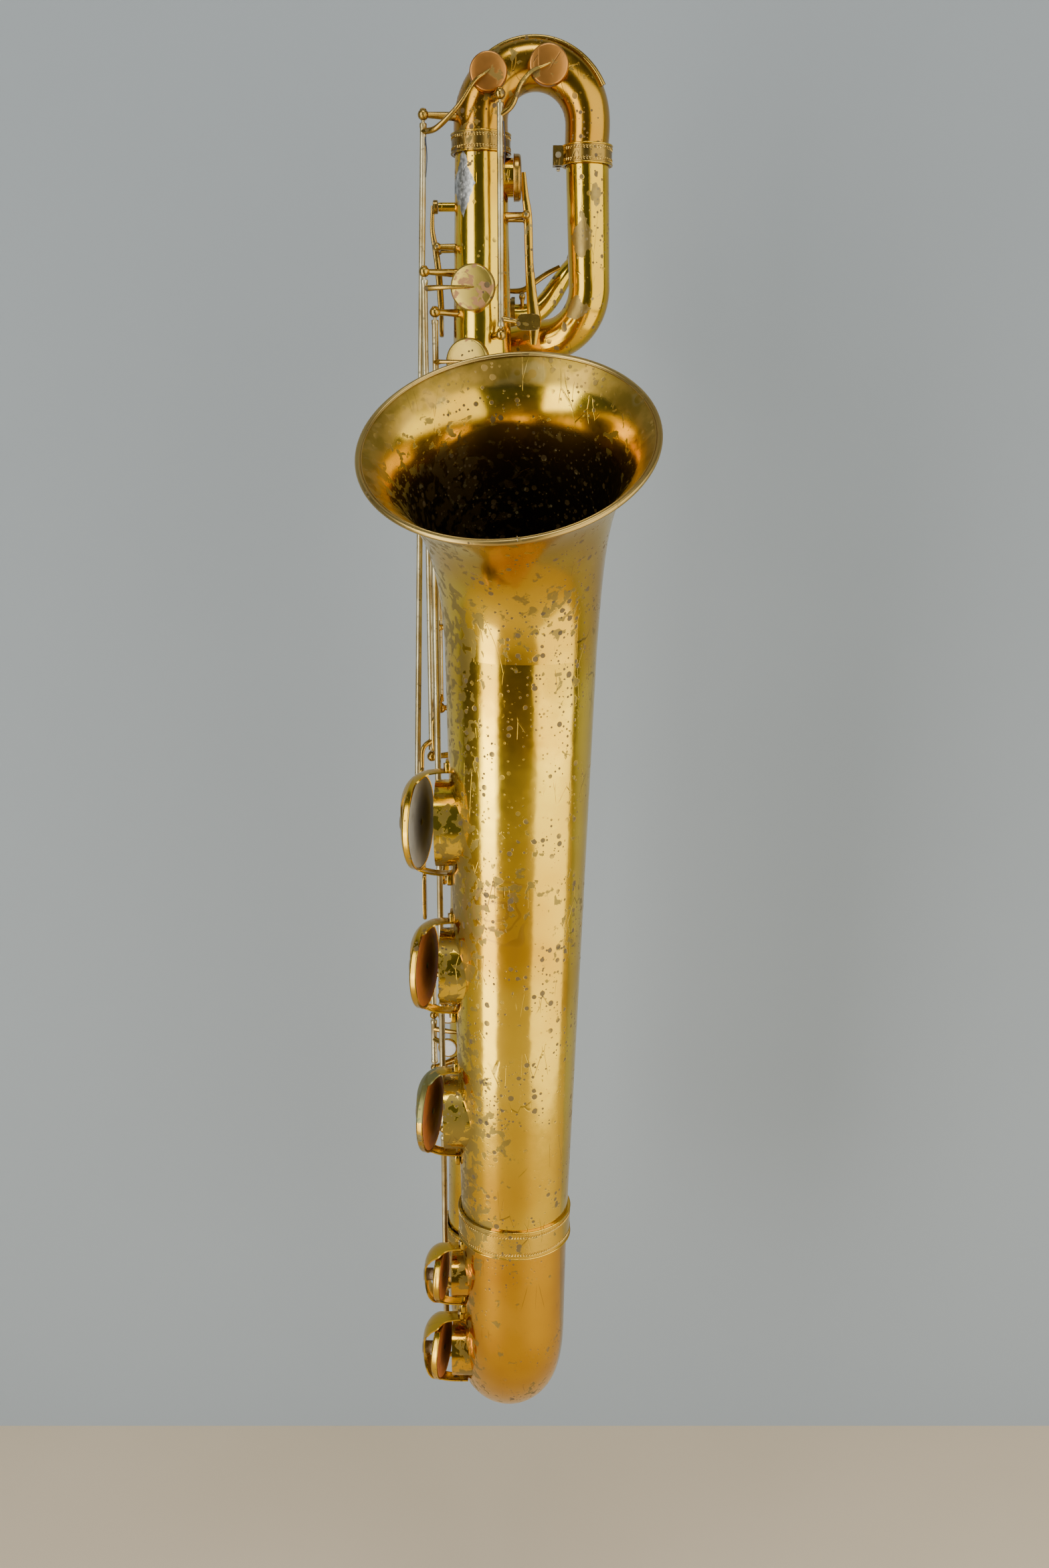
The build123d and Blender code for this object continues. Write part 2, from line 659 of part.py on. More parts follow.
MOUTH_AXIS = (84.0, 958.0)  # x and height of the mouthpiece's axis, which runs towards the player
MOUTH_PLANE = Plane(origin=(MOUTH_AXIS[0], 0, MOUTH_AXIS[1]), x_dir=(1, 0, 0), z_dir=(0, 1, 0))
MOUTH_START, MOUTH_BODY, MOUTH_END = 128.0, 172.0, 218.0
MOUTH_RADIUS = 12.6
CORK_RADIUS = 7.9
REED_THICK = 2.4
BEAK_FACE = (0, 0.36, 1)  # the top of the beak slopes down towards the tip
TABLE = 9.0  # from the mouthpiece's axis down to the flat that the reed lies on

with BuildPart() as neck_cork:
    disc(MOUTH_PLANE, 128, CORK_RADIUS, 21)
    add(NECK, mode=Mode.SUBTRACT)
    disc(MOUTH_PLANE, 128, 6.0, 21, Mode.SUBTRACT)
save("neck_cork", neck_cork.part)

with BuildPart() as mouthpiece:
    disc(MOUTH_PLANE, MOUTH_START, MOUTH_RADIUS, MOUTH_BODY - MOUTH_START)
    with Locations(MOUTH_PLANE.offset(MOUTH_BODY)):
        Cone(MOUTH_RADIUS, 9.2, MOUTH_END - MOUTH_BODY, align=FROM_BASE)
    beak_start = (MOUTH_AXIS[0], MOUTH_BODY + 6, MOUTH_AXIS[1] + MOUTH_RADIUS)
    with Locations(Plane(origin=beak_start, x_dir=(1, 0, 0), z_dir=BEAK_FACE)):
        Box(40, 120, 20, align=FROM_BASE, mode=Mode.SUBTRACT)
    plate((MOUTH_AXIS[0], 200, MOUTH_AXIS[1] - TABLE - 10), (40, 120, 20), mode=Mode.SUBTRACT)
    disc(MOUTH_PLANE, MOUTH_START, CORK_RADIUS + 0.02, 24, Mode.SUBTRACT)
    disc(MOUTH_PLANE, MOUTH_START + 24, 5.0, 44, Mode.SUBTRACT)
save("mouthpiece", mouthpiece.part)

with BuildPart() as reed:
    plate((MOUTH_AXIS[0], 185, MOUTH_AXIS[1] - TABLE - REED_THICK / 2), (12.5, 64, REED_THICK))
save("reed", reed.part)

with BuildPart() as ligature:
    disc(MOUTH_PLANE, 154, 14.4, 17)
    disc(MOUTH_PLANE, 154, 13.1, 17, Mode.SUBTRACT)
save("ligature", ligature.part)

with BuildPart() as clamp_screws:
    for y in (158.5, 166.5):
        bar((MOUTH_AXIS[0] - 1, y, 942), (MOUTH_AXIS[0] + 14, y, 942), 1.5)
        bar((MOUTH_AXIS[0] + 14, y, 942), (MOUTH_AXIS[0] + 17, y, 942), 3.4)
    screw = Vector(RECEIVER_START[0] + 7, 72.4, 889)
    bar(screw, screw - Vector(0, 4, 0), 2.0)
    bar(screw - Vector(0, 4, 0), screw - Vector(0, 7, 0), 4.0)
    lyre = Vector(LYRE_CENTRE[0], -5.1, 1015)
    bar(lyre, lyre - Vector(0, 2.2, 0), 2.2)
save("clamp_screws", clamp_screws.part)

# keys


def hinge_tube(key):
    bar(rod_point(key, key.tube[0]), rod_point(key, key.tube[1]), TUBE_RADIUS)


def hinge_bore(key):
    bar(rod_point(key, key.tube[0] - 1), rod_point(key, key.tube[1] + 1), BORE_RADIUS, Mode.SUBTRACT)


def cup(key):
    disc(key.plane, PAD_GAP, key.pad + CUP_WALL, CUP_DEPTH)
    disc(key.plane, PAD_GAP + CUP_DEPTH, key.pad * 0.75, 0.8)


def cup_pocket(key):
    disc(key.plane, PAD_GAP, key.pad, PAD_THICK, Mode.SUBTRACT)


def straight_arm(key):
    """From the hinge over the cup's edge to the middle of its back."""
    hinge = key.hinge_at(key.axis_point.Z)
    sideways = key.plane.origin - hinge
    sideways = (sideways - key.out * sideways.dot(key.out)).normalized()
    knee = key.back - sideways * (key.pad + CUP_WALL + 2)
    return (hinge, knee, key.back)


TOUCH_THICK = 3.0
LOW_TOUCHES = {  # height, step to the left, length of the arm, and the plate's width and height
    "low_a_key": (728, 0, 10, 16, 22),
    "low_bflat_key": (470, 0, 10, 16, 16),
    "low_b_key": (360, 0, 9, 10, 9),
    "low_csharp_key": (240, 0, 10, 16, 12),
    "low_c_key": (96, 4, 10, 16, 12),
}
LONG_TOUCHES = {  # height on the hinge, knees of the arm, and the plate's centre and size
    "side_c_key": (568, ((-50, -26, 562), (-51, -27, 545)), (-51, -27, 532), (TOUCH_THICK, 12, 30)),
    "side_bflat_key": (606, ((-37, -30, 594), (-40, -34, 588)), (-40, -34, 576), (TOUCH_THICK, 12, 28)),
    "high_f_key": (896, ((30, -36, 893),), (36, -37, 893), (18, TOUCH_THICK, 12)),
    "high_e_key": (508, ((-53, -21, 502), (-51, -22, 452)), (-51, -22, 434), (TOUCH_THICK, 13, 40)),
}
PEARL_X, PEARL_FACE = -29.0, -54.0  # sideways place and front of the three pearls
PEARL_RIM = 8.3


def touch_pieces(key):
    """Finger plates and the arms that carry them."""
    x, y = key.hinge
    if key.name in LOW_TOUCHES:
        height, step, arm, wide, tall = LOW_TOUCHES[key.name]
        rod_chain(((x, y, height), (x - step, y + arm, height)))
        plate((x - step, y + arm + wide / 2 - ARM_RADIUS, height), (TOUCH_THICK, wide, tall))
    elif key.name in LONG_TOUCHES:
        height, knees, centre, size = LONG_TOUCHES[key.name]
        rod_chain((rod_point(key, height), *knees))
        plate(centre, size)
    elif key.name in PEARL_HEIGHTS:
        height = PEARL_HEIGHTS[key.name]
        knee = (PEARL_X - 4, PEARL_FACE + 4, height)
        rod_chain(((x, y, height), knee, (PEARL_X, PEARL_FACE - 0.5, height)))
        disc(pearl_plane(key.name), 0, PEARL_RIM, 3.2)


PEARL_RADIUS = 7.2
ARMS = {
    "high_e_key": ((-42.9, -12, 1028), (-32, -21, 1031), (-16, -28, 1044), (-4, -29.5, 1060)),
    "high_f_key": ((15, -32, 1037), (24, -33, 1044), (30, -31, 1058), (38, -29.5, 1067)),
}


def pearl_plane(name):
    return Plane(origin=(PEARL_X, PEARL_FACE, PEARL_HEIGHTS[name]), x_dir=UP, z_dir=(0, -1, 0))


for key in BELL_KEYS + LOWER_STACK + UPPER_STACK + SIDE_KEYS + [HIGH_E, HIGH_F]:
    with BuildPart() as metal:
        cup(key)
        hinge_tube(key)
        if key.name in ARMS:
            rod_chain((*ARMS[key.name], key.back))
        else:
            rod_chain(straight_arm(key))
        touch_pieces(key)
        cup_pocket(key)
        hinge_bore(key)
        if key.name in PEARL_HEIGHTS:
            disc(pearl_plane(key.name), 1.2, PEARL_RADIUS, 3.0, Mode.SUBTRACT)
    save(key.name, key.rest(metal.part))
    if key in UPPER_STACK:
        continue
    with BuildPart() as pad:
        disc(key.plane, PAD_GAP, key.pad - 0.05, PAD_THICK)
    save(key.name.replace("key", "pad"), key.rest(pad.part))

for key in LOWER_STACK:
    with BuildPart() as pearl:
        disc(pearl_plane(key.name), 1.2, PEARL_RADIUS - 0.05, 2.6)
    save(key.name.replace("key", "pearl"), key.rest(pearl.part))


def cross_tube(hinge):
    bar(cross_end(hinge, -1), cross_end(hinge, 1), TUBE_RADIUS)


def cross_bore(hinge):
    bar(cross_end(hinge, -1, 1), cross_end(hinge, 1, 1), BORE_RADIUS, Mode.SUBTRACT)


with BuildPart() as palm_d_key:
    disc(PALM_PLANE, PAD_GAP, PALM_PAD + CUP_WALL, CUP_DEPTH)
    disc(PALM_PLANE, PAD_GAP + CUP_DEPTH, PALM_PAD * 0.75, 0.8)
    cross_tube(PALM_HINGE)
    rod_chain(((31.6, 0, PALM_HEIGHT), (34.5, 0, 984), (35.5, 0, 972), (37, 0, 940), (37.5, 0, 905)), 2.2)
    plate((38.5, 0, 894), (3, 15, 34))
    disc(PALM_PLANE, PAD_GAP, PALM_PAD, PAD_THICK, Mode.SUBTRACT)
    cross_bore(PALM_HINGE)
save("palm_d_key", palm_d_key.part)

with BuildPart() as palm_d_pad:
    disc(PALM_PLANE, PAD_GAP, PALM_PAD - 0.05, PAD_THICK)
save("palm_d_pad", palm_d_pad.part)

OCTAVE_PLANE = Plane(origin=OCTAVE_POINT, x_dir=UP, z_dir=(-1, 0, 0))

with BuildPart() as octave_key:
    disc(OCTAVE_PLANE, PAD_GAP, 5.2, 4.0)
    cross_tube(OCTAVE_HINGE)
    rod_chain(((-37.5, 5, 980), (-38, 5, 964), (-35.5, 5, 950), (-33, 5, 930), (-32, 7, 905)), 1.8)
    plate((-32, 9, 896), (3, 12, 22))
    cross_bore(OCTAVE_HINGE)
save("octave_key", octave_key.part)

with BuildPart() as neck_octave_key:
    cross_tube(NECK_HINGE)
    rod_chain(((16, 77, 926), (31, 77, 926.5), (40, 77, 932), (52, 79, 940), (62, 78, 945)), 2.4)
    cross_bore(NECK_HINGE)
save("neck_octave_key", neck_octave_key.part)
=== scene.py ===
from math import cos, pi, radians, sin

import bpy
from mathutils import Matrix, Vector


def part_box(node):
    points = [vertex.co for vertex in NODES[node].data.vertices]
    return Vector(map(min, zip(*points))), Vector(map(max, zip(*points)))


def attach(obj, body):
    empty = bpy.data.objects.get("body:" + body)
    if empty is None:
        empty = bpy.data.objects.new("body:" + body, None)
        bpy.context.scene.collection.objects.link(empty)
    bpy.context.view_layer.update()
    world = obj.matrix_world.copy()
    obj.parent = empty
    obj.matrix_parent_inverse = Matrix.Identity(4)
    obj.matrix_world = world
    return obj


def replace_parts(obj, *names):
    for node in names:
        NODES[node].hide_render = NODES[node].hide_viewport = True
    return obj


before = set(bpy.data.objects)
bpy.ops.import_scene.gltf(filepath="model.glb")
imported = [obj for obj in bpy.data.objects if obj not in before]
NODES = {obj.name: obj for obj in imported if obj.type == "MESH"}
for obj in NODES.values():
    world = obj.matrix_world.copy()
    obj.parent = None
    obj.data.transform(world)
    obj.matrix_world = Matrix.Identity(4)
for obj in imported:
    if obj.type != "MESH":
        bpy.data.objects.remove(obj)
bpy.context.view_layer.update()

ROOT = "instrument"

# Places on the instrument are given in millimetres: x and y from the body tube's axis, heights from
# the lowest point of the bottom bow. place() turns them into metres in the frame.

MM = 0.001
CROWN_START, CROWN_END = 20.4, 16.9
BASE_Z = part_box("bottom_bow")[0].z
TUBE_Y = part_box("upper_bow")[1].y - CROWN_START * MM

BELL_FOOT = Vector((24.7, -128.0, 0))
BOW_TOP = 197.0
FLARE_START = Vector((30.3, -142.0, 660.0))
BELL_JOINT_RADIUS, FLARE_START_RADIUS, BOW_BELL_END = 42.3, 53.8, 40.4
RIM_CENTRE = Vector((22.0, -210.0, 806.0))
RIM_NORMAL = Vector((-0.094, -0.59, 0.80)).normalized()
RIM_RADIUS = 98.0
LOOP_X = 80.3
UP, RIGHT, BACK = Vector((0, 0, 1)), Vector((1, 0, 0)), Vector((0, 1, 0))
LEFT, FRONT = -RIGHT, -BACK


def place(point):
    point = Vector(point)
    return Vector((point.x * MM, TUBE_Y + point.y * MM, BASE_Z + point.z * MM))


def body_radius(height):
    return 19.8 + (1022.0 - height) * 0.0184


def bell_axis(height):
    share = max(height - BOW_TOP, 0) / (FLARE_START.z - BOW_TOP)
    foot = Vector((BELL_FOOT.x, BELL_FOOT.y, 0))
    shift = (FLARE_START - foot) * share
    return Vector((foot.x + shift.x, foot.y + shift.y, height))


# ------------------------------------------------------------------ materials


class Surface:
    """A principled material, with short calls for the nodes that shape its colour and relief."""

    def __init__(self, name):
        self.material = bpy.data.materials.new(name)
        self.material.use_nodes = True
        self.tree = self.material.node_tree
        self.shader = self.tree.nodes["Principled BSDF"]
        self.where = self.tree.nodes.new("ShaderNodeTexCoord").outputs["Object"]

    def node(self, kind, **settings):
        made = self.tree.nodes.new(kind)
        for name, value in settings.items():
            setattr(made, name, value)
        return made

    def feed(self, socket, value):
        if isinstance(value, bpy.types.NodeSocket):
            self.tree.links.new(value, socket)
        else:
            socket.default_value = value

    def stretched(self, scale, turn=(0, 0, 0)):
        mapping = self.node("ShaderNodeMapping")
        self.feed(mapping.inputs["Vector"], self.where)
        mapping.inputs["Scale"].default_value = scale
        mapping.inputs["Rotation"].default_value = turn
        return mapping.outputs["Vector"]

    def noise(self, scale, detail=4.0, where=None, distortion=0.0):
        noise = self.node("ShaderNodeTexNoise")
        self.feed(noise.inputs["Vector"], where or self.where)
        noise.inputs["Scale"].default_value = scale
        noise.inputs["Detail"].default_value = detail
        noise.inputs["Distortion"].default_value = distortion
        return noise.outputs["Fac"]

    def cells(self, scale, feature="F1", where=None):
        cells = self.node("ShaderNodeTexVoronoi", feature=feature)
        self.feed(cells.inputs["Vector"], where or self.where)
        cells.inputs["Scale"].default_value = scale
        return cells

    def math(self, operation, first, second=0.0, clamp=False):
        node = self.node("ShaderNodeMath", operation=operation, use_clamp=clamp)
        self.feed(node.inputs[0], first)
        self.feed(node.inputs[1], second)
        return node.outputs[0]

    def step(self, value, low, high, bottom=0.0, top=1.0):
        """Smooth rise of value between low and high."""
        node = self.node("ShaderNodeMapRange", interpolation_type="SMOOTHSTEP")
        for slot, number in zip(node.inputs, (value, low, high, bottom, top)):
            self.feed(slot, number)
        return node.outputs[0]

    def mix(self, factor, first, second):
        node = self.node("ShaderNodeMix", data_type="RGBA")
        self.feed(node.inputs["Factor"], factor)
        for slot, value in zip((node.inputs[6], node.inputs[7]), (first, second)):
            self.feed(slot, value if isinstance(value, bpy.types.NodeSocket) else (*value, 1))
        return node.outputs[2]

    def difference(self, first, second):
        node = self.node("ShaderNodeVectorMath", operation="SUBTRACT")
        self.feed(node.inputs[0], first)
        self.feed(node.inputs[1], second)
        return node.outputs[0]

    def dot(self, first, second):
        node = self.node("ShaderNodeVectorMath", operation="DOT_PRODUCT")
        self.feed(node.inputs[0], first)
        self.feed(node.inputs[1], second)
        return node.outputs["Value"]

    def axis(self, letter):
        node = self.node("ShaderNodeSeparateXYZ")
        self.feed(node.inputs[0], self.where)
        return node.outputs[letter]

    def bump(self, height, strength, distance):
        node = self.node("ShaderNodeBump")
        node.inputs["Strength"].default_value = strength
        node.inputs["Distance"].default_value = distance
        self.feed(node.inputs["Height"], height)
        self.feed(self.shader.inputs["Normal"], node.outputs["Normal"])

    def finish(self, colour, roughness, metallic=0.0, **more):
        inputs = self.shader.inputs
        self.feed(inputs["Base Color"], colour if isinstance(colour, bpy.types.NodeSocket) else (*colour, 1))
        self.feed(inputs["Roughness"], roughness)
        self.feed(inputs["Metallic"], metallic)
        for name, value in more.items():
            self.feed(inputs[name.replace("_", " ")], value)
        return self.material


PIT_BROWN = (0.10, 0.070, 0.032)


def aged_brass(name, gold, deep, tarnish, wear=0.5, pits=0.5, polish=0.14, left=None, extra=None):
    """Old lacquered brass: gold with deeper patches, matt tarnish where the lacquer has gone,
    round dark pits in clusters, and fine scratches. left is a place in metres: left of it the tarnish
    is heavier, partly real tarnish and partly painted shade of the dim left flank."""
    s = Surface(name)
    clouds = s.noise(9.0, 3.0)
    fine = s.noise(230.0, 6.0)
    colour = s.mix(s.step(clouds, 0.38, 0.68), gold, deep)

    ragged = s.noise(135.0, 8.0, distortion=0.4)
    region = s.noise(11.0, 2.0)
    tarnish_and_shade_amount = s.math("ADD", s.math("MULTIPLY", ragged, 0.62), s.math("MULTIPLY", region, 0.38))
    # Partly painted shade: tarnish colour is made heavier on the left side, standing for the dim left flank
    # as well as for tarnish.
    if left is not None:
        side = s.step(s.axis("X"), left - 0.012, left + 0.010, 0.11, 0.0)
        tarnish_and_shade_amount = s.math("ADD", tarnish_and_shade_amount, side)
    edge = 0.66 - 0.16 * wear
    tarnish_and_shade = s.step(tarnish_and_shade_amount, edge, edge + 0.035)
    colour = s.mix(s.math("MULTIPLY", tarnish_and_shade, 0.85), colour, tarnish)

    wobble = s.node("ShaderNodeVectorMath", operation="MULTIPLY_ADD")
    s.feed(wobble.inputs[0], s.node("ShaderNodeTexNoise").outputs["Color"])
    wobble.inputs[1].default_value = (0.0012, 0.0012, 0.0012)
    s.feed(wobble.inputs[2], s.where)
    cluster = s.step(s.noise(24.0, 2.0), 0.62 - 0.22 * pits, 0.70 - 0.2 * pits)
    dark = 0.0
    for scale, size in ((170.0, 0.40), (360.0, 0.36)):
        cells = s.cells(scale, where=wobble.outputs[0])
        pick = s.node("ShaderNodeSeparateColor")
        s.feed(pick.inputs[0], cells.outputs["Color"])
        reach = s.math("MULTIPLY", s.step(pick.outputs[0], 0.45, 1.0), size)
        spot = s.step(s.math("SUBTRACT", cells.outputs["Distance"], reach), -0.05, 0.02, 1.0, 0.0)
        dark = s.math("MAXIMUM", s.math("MULTIPLY", spot, cluster), dark)
    colour = s.mix(s.math("MULTIPLY", dark, 0.9), colour, PIT_BROWN)

    long = s.stretched((34.0, 34.0, 7.0), (0.0, 0.35, 0.5))
    crack = s.cells(2.6, "DISTANCE_TO_EDGE", where=long)
    line = s.step(crack.outputs["Distance"], 0.004, 0.016, 1.0, 0.0)
    line = s.math("MULTIPLY", line, s.step(s.noise(26.0, 2.0), 0.56, 0.62))
    colour = s.mix(s.math("MULTIPLY", line, 0.55), colour, PIT_BROWN)

    rough = s.math("MULTIPLY_ADD", fine, 0.10)
    rough.node.inputs[2].default_value = polish - 0.03
    rough = s.math("ADD", rough, s.math("MULTIPLY", tarnish_and_shade, 0.24))
    rough = s.math("ADD", rough, s.math("MULTIPLY", dark, 0.30), clamp=True)
    metal = s.math("SUBTRACT", 1.0, s.math("MULTIPLY", dark, 0.55))
    metal = s.math("SUBTRACT", metal, s.math("MULTIPLY", tarnish_and_shade, 0.18))
    if extra:
        colour, rough, metal = extra(s, colour, rough, metal)
    height = s.math("SUBTRACT", s.math("MULTIPLY", fine, 0.10), s.math("MULTIPLY", dark, 0.6))
    height = s.math("SUBTRACT", height, s.math("MULTIPLY", line, 0.5))
    height = s.math("SUBTRACT", height, s.math("MULTIPLY", tarnish_and_shade, 0.25))
    s.bump(height, 0.35, 0.0004)
    return s.finish(colour, rough, metal)


GOLD = (0.82, 0.545, 0.045)
DEEP_GOLD = (0.62, 0.34, 0.018)
ORANGE = (0.46, 0.19, 0.012)
OLIVE = (0.20, 0.145, 0.035)
TAN = (0.30, 0.23, 0.11)
# Painted shade colour, laid nearly black down the bell's throat.
THROAT_SHADE_BLACK = (0.075, 0.045, 0.012)


def patch(s, centre, size, corner=1.0, ragged=0.9):
    """Mask of a ragged patch on the front; size is its half width and half height in millimetres.
    A corner of 1 is a diamond, 2 an oval."""
    centre = place(centre)
    wander = s.math("MULTIPLY", s.math("SUBTRACT", s.noise(120.0, 4.0), 0.5), ragged)
    total = wander
    for letter, middle, half in (("X", centre.x, size[0] * MM), ("Z", centre.z, size[1] * MM)):
        away = s.math("ABSOLUTE", s.math("SUBTRACT", s.axis(letter), middle))
        total = s.math("ADD", total, s.math("POWER", s.math("DIVIDE", away, half), corner))
    return s.step(total, 0.95, 1.05, 1.0, 0.0)


def solder_patch(s, colour, rough, metal):
    mask = patch(s, (-13.0, 0, 993.0), (8.5, 24.0))
    silver = s.mix(s.step(s.noise(260.0, 5.0), 0.35, 0.65), (0.22, 0.22, 0.21), (0.50, 0.50, 0.49))
    rough = s.math("MAXIMUM", rough, s.math("MULTIPLY", mask, 0.42))
    return s.mix(mask, colour, silver), rough, metal


def loop_patch(s, colour, rough, metal):
    """Grey-tan worn patches on the loop's front, above its bend."""
    mask = patch(s, (77.0, 0, 955.0), (7.0, 15.0), 1.4, 3.2)
    for centre, size in (((73.0, 0, 905.0), (9.0, 8.0)), ((86.0, 0, 985.0), (5.0, 9.0))):
        mask = s.math("MAXIMUM", mask, patch(s, centre, size, 1.4, 3.2))
    worn = s.mix(s.noise(240.0, 5.0), (0.15, 0.105, 0.038), (0.33, 0.25, 0.105))
    rough = s.math("MAXIMUM", rough, s.math("MULTIPLY", mask, 0.42))
    return s.mix(s.math("MULTIPLY", mask, 0.85), colour, worn), rough, metal


def verdigris(s, colour, rough, metal):
    """Dull green where hands and damp have reached the guard of the low B key."""
    mask = patch(s, (-42.0, 0, 312.0), (24.0, 16.0), 1.6, 1.6)
    green = s.mix(s.noise(150.0, 5.0), (0.10, 0.15, 0.075), (0.23, 0.24, 0.10))
    rough = s.math("MAXIMUM", rough, s.math("MULTIPLY", mask, 0.45))
    return s.mix(s.math("MULTIPLY", mask, 0.8), colour, green), rough, metal


def bell_zones(s, colour, rough, metal):
    """Inside the bell: satin olive near the rim, bright below it, and down the throat painted shade, nearly
    black.
    Outside, low on the tube, a faint scroll is engraved."""
    along = s.dot(s.difference(s.where, place(RIM_CENTRE)), RIM_NORMAL)
    axis = s.node("ShaderNodeCombineXYZ")
    s.feed(axis.inputs[0], place((26.0, 0, 0)).x)
    rise = s.step(s.axis("Z"), place((0, 0, 640)).z, place((0, 0, 850)).z)
    s.feed(axis.inputs[1], s.math("ADD", s.math("MULTIPLY", rise, -0.080), place((0, -140.0, 0)).y))
    s.feed(axis.inputs[2], s.axis("Z"))
    normal = s.node("ShaderNodeNewGeometry").outputs["Normal"]
    outward = s.dot(normal, s.difference(s.where, axis.outputs[0]))
    inside = s.step(outward, -0.004, 0.0, 1.0, 0.0)
    wander = s.math("MULTIPLY", s.noise(22.0, 5.0), 0.012)
    depth = s.math("ADD", along, wander)
    satin = s.math("MULTIPLY", s.step(depth, -0.012, -0.004), inside)
    olive = s.mix(s.step(s.noise(75.0, 6.0), 0.4, 0.6), (0.27, 0.175, 0.028), (0.40, 0.25, 0.05))
    rings = s.step(s.cells(95.0).outputs["Distance"], 0.30, 0.36)
    rings = s.math("MULTIPLY", rings, s.step(s.noise(28.0, 2.0), 0.52, 0.6))
    olive = s.mix(s.math("MULTIPLY", rings, 0.35), olive, (0.42, 0.36, 0.16))
    colour = s.mix(s.math("MULTIPLY", satin, 0.88), colour, olive)
    rough = s.math("MAXIMUM", rough, s.math("MULTIPLY", satin, 0.36))
    # Painted shade: the colour turns nearly black down the throat, standing in for the shade deep inside the
    # bell.
    throat = s.math("MULTIPLY", s.step(depth, -0.034, -0.026, 1.0, 0.0), inside)
    specks = s.step(s.noise(170.0, 5.0), 0.58, 0.66)
    deep = s.mix(s.math("MULTIPLY", specks, 0.85), THROAT_SHADE_BLACK, (0.26, 0.21, 0.085))
    colour = s.mix(s.math("MULTIPLY", throat, 0.95), colour, deep)
    rough = s.math("MAXIMUM", rough, s.math("MULTIPLY", throat, 0.30))
    return engraved_scroll(s, colour), rough, metal


def engraved_scroll(s, colour):
    """Faint curling lines on the lower front of the bell tube."""
    middle = place((8.0, -190.0, 476.0))
    curls = s.node("ShaderNodeTexWave", wave_type="RINGS", rings_direction="SPHERICAL")
    s.feed(curls.inputs["Vector"], s.difference(s.where, middle))
    curls.inputs["Scale"].default_value = 32.0
    curls.inputs["Distortion"].default_value = 9.0
    curls.inputs["Detail"].default_value = 1.0
    curls.inputs["Detail Scale"].default_value = 1.4
    line = s.step(curls.outputs["Fac"], 0.10, 0.22, 1.0, 0.0)
    mask = line
    for letter, centre in (("Z", middle.z), ("X", middle.x)):
        away = s.math("ABSOLUTE", s.math("SUBTRACT", s.axis(letter), centre))
        mask = s.math("MULTIPLY", mask, s.step(away, 0.020, 0.030, 1.0, 0.0))
    return s.mix(s.math("MULTIPLY", mask, 0.45), colour, (0.34, 0.19, 0.05))


def plain_metal(name, colour, second, roughness, relief=0.15):
    """Small metal parts: soft colour change, brown flecks, fine wear."""
    s = Surface(name)
    tone = s.mix(s.step(s.noise(45.0, 5.0), 0.35, 0.65), colour, second)
    flecks = s.step(s.noise(330.0, 4.0), 0.60, 0.70)
    tone = s.mix(s.math("MULTIPLY", flecks, 0.6), tone, PIT_BROWN)
    rough = s.math("MULTIPLY_ADD", s.noise(500.0, 3.0), 0.18)
    rough.node.inputs[2].default_value = roughness
    s.bump(s.noise(420.0, 4.0), relief, 0.0003)
    return s.finish(tone, s.math("ADD", rough, s.math("MULTIPLY", flecks, 0.2)), 0.95)


def leather(name, colour, dark, middle):
    """Pad leather: fine grain, darker mottling and soft stains."""
    s = Surface(name)
    tone = s.mix(s.noise(120.0, 6.0), colour, dark)
    stain = s.step(s.noise(50.0, 3.0), 0.55, 0.7)
    tone = s.mix(s.math("MULTIPLY", stain, 0.6), tone, middle)
    grain = s.cells(1500.0, "DISTANCE_TO_EDGE").outputs["Distance"]
    s.bump(s.math("ADD", grain, s.math("MULTIPLY", s.noise(300.0), 0.5)), 0.4, 0.0003)
    rough = s.math("MULTIPLY_ADD", s.noise(200.0), 0.25)
    rough.node.inputs[2].default_value = 0.45
    return s.finish(tone, rough)


def pearl_shell():
    """Mother-of-pearl: milky clouds with a faint green glint."""
    s = Surface("mother_of_pearl")
    wave = s.noise(90.0, 3.0, distortion=2.0)
    tone = s.mix(wave, (0.80, 0.79, 0.74), (0.93, 0.90, 0.88))
    glint = s.step(s.noise(140.0, 2.0, distortion=1.5), 0.5, 0.7)
    tone = s.mix(s.math("MULTIPLY", glint, 0.35), tone, (0.62, 0.74, 0.72))
    s.bump(wave, 0.1, 0.0002)
    rough = s.math("MULTIPLY_ADD", s.noise(300.0), 0.12)
    rough.node.inputs[2].default_value = 0.12
    return s.finish(tone, rough, Coat_Weight=0.5)


def soft_matter(name, first, second, scale, roughness, relief):
    """Felt, cork and cane: two tones in a grain of the given scale."""
    s = Surface(name)
    grain = s.noise(scale, 8.0)
    s.bump(grain, relief, 0.0006)
    rough = s.math("MULTIPLY_ADD", grain, 0.2)
    rough.node.inputs[2].default_value = roughness
    return s.finish(s.mix(s.step(grain, 0.35, 0.65), first, second), rough)


LEFT_SIDE = place((-2, 0, 0)).x
TUBE = aged_brass("tube_brass", GOLD, DEEP_GOLD, OLIVE, wear=0.25, pits=0.6, extra=solder_patch)
LOOP = aged_brass("loop_brass", GOLD, DEEP_GOLD, TAN, wear=0.35, pits=0.7, extra=loop_patch)
CROWN = aged_brass("crown_brass", (0.46, 0.25, 0.022), ORANGE, OLIVE, wear=0.5, pits=0.6, polish=0.2)
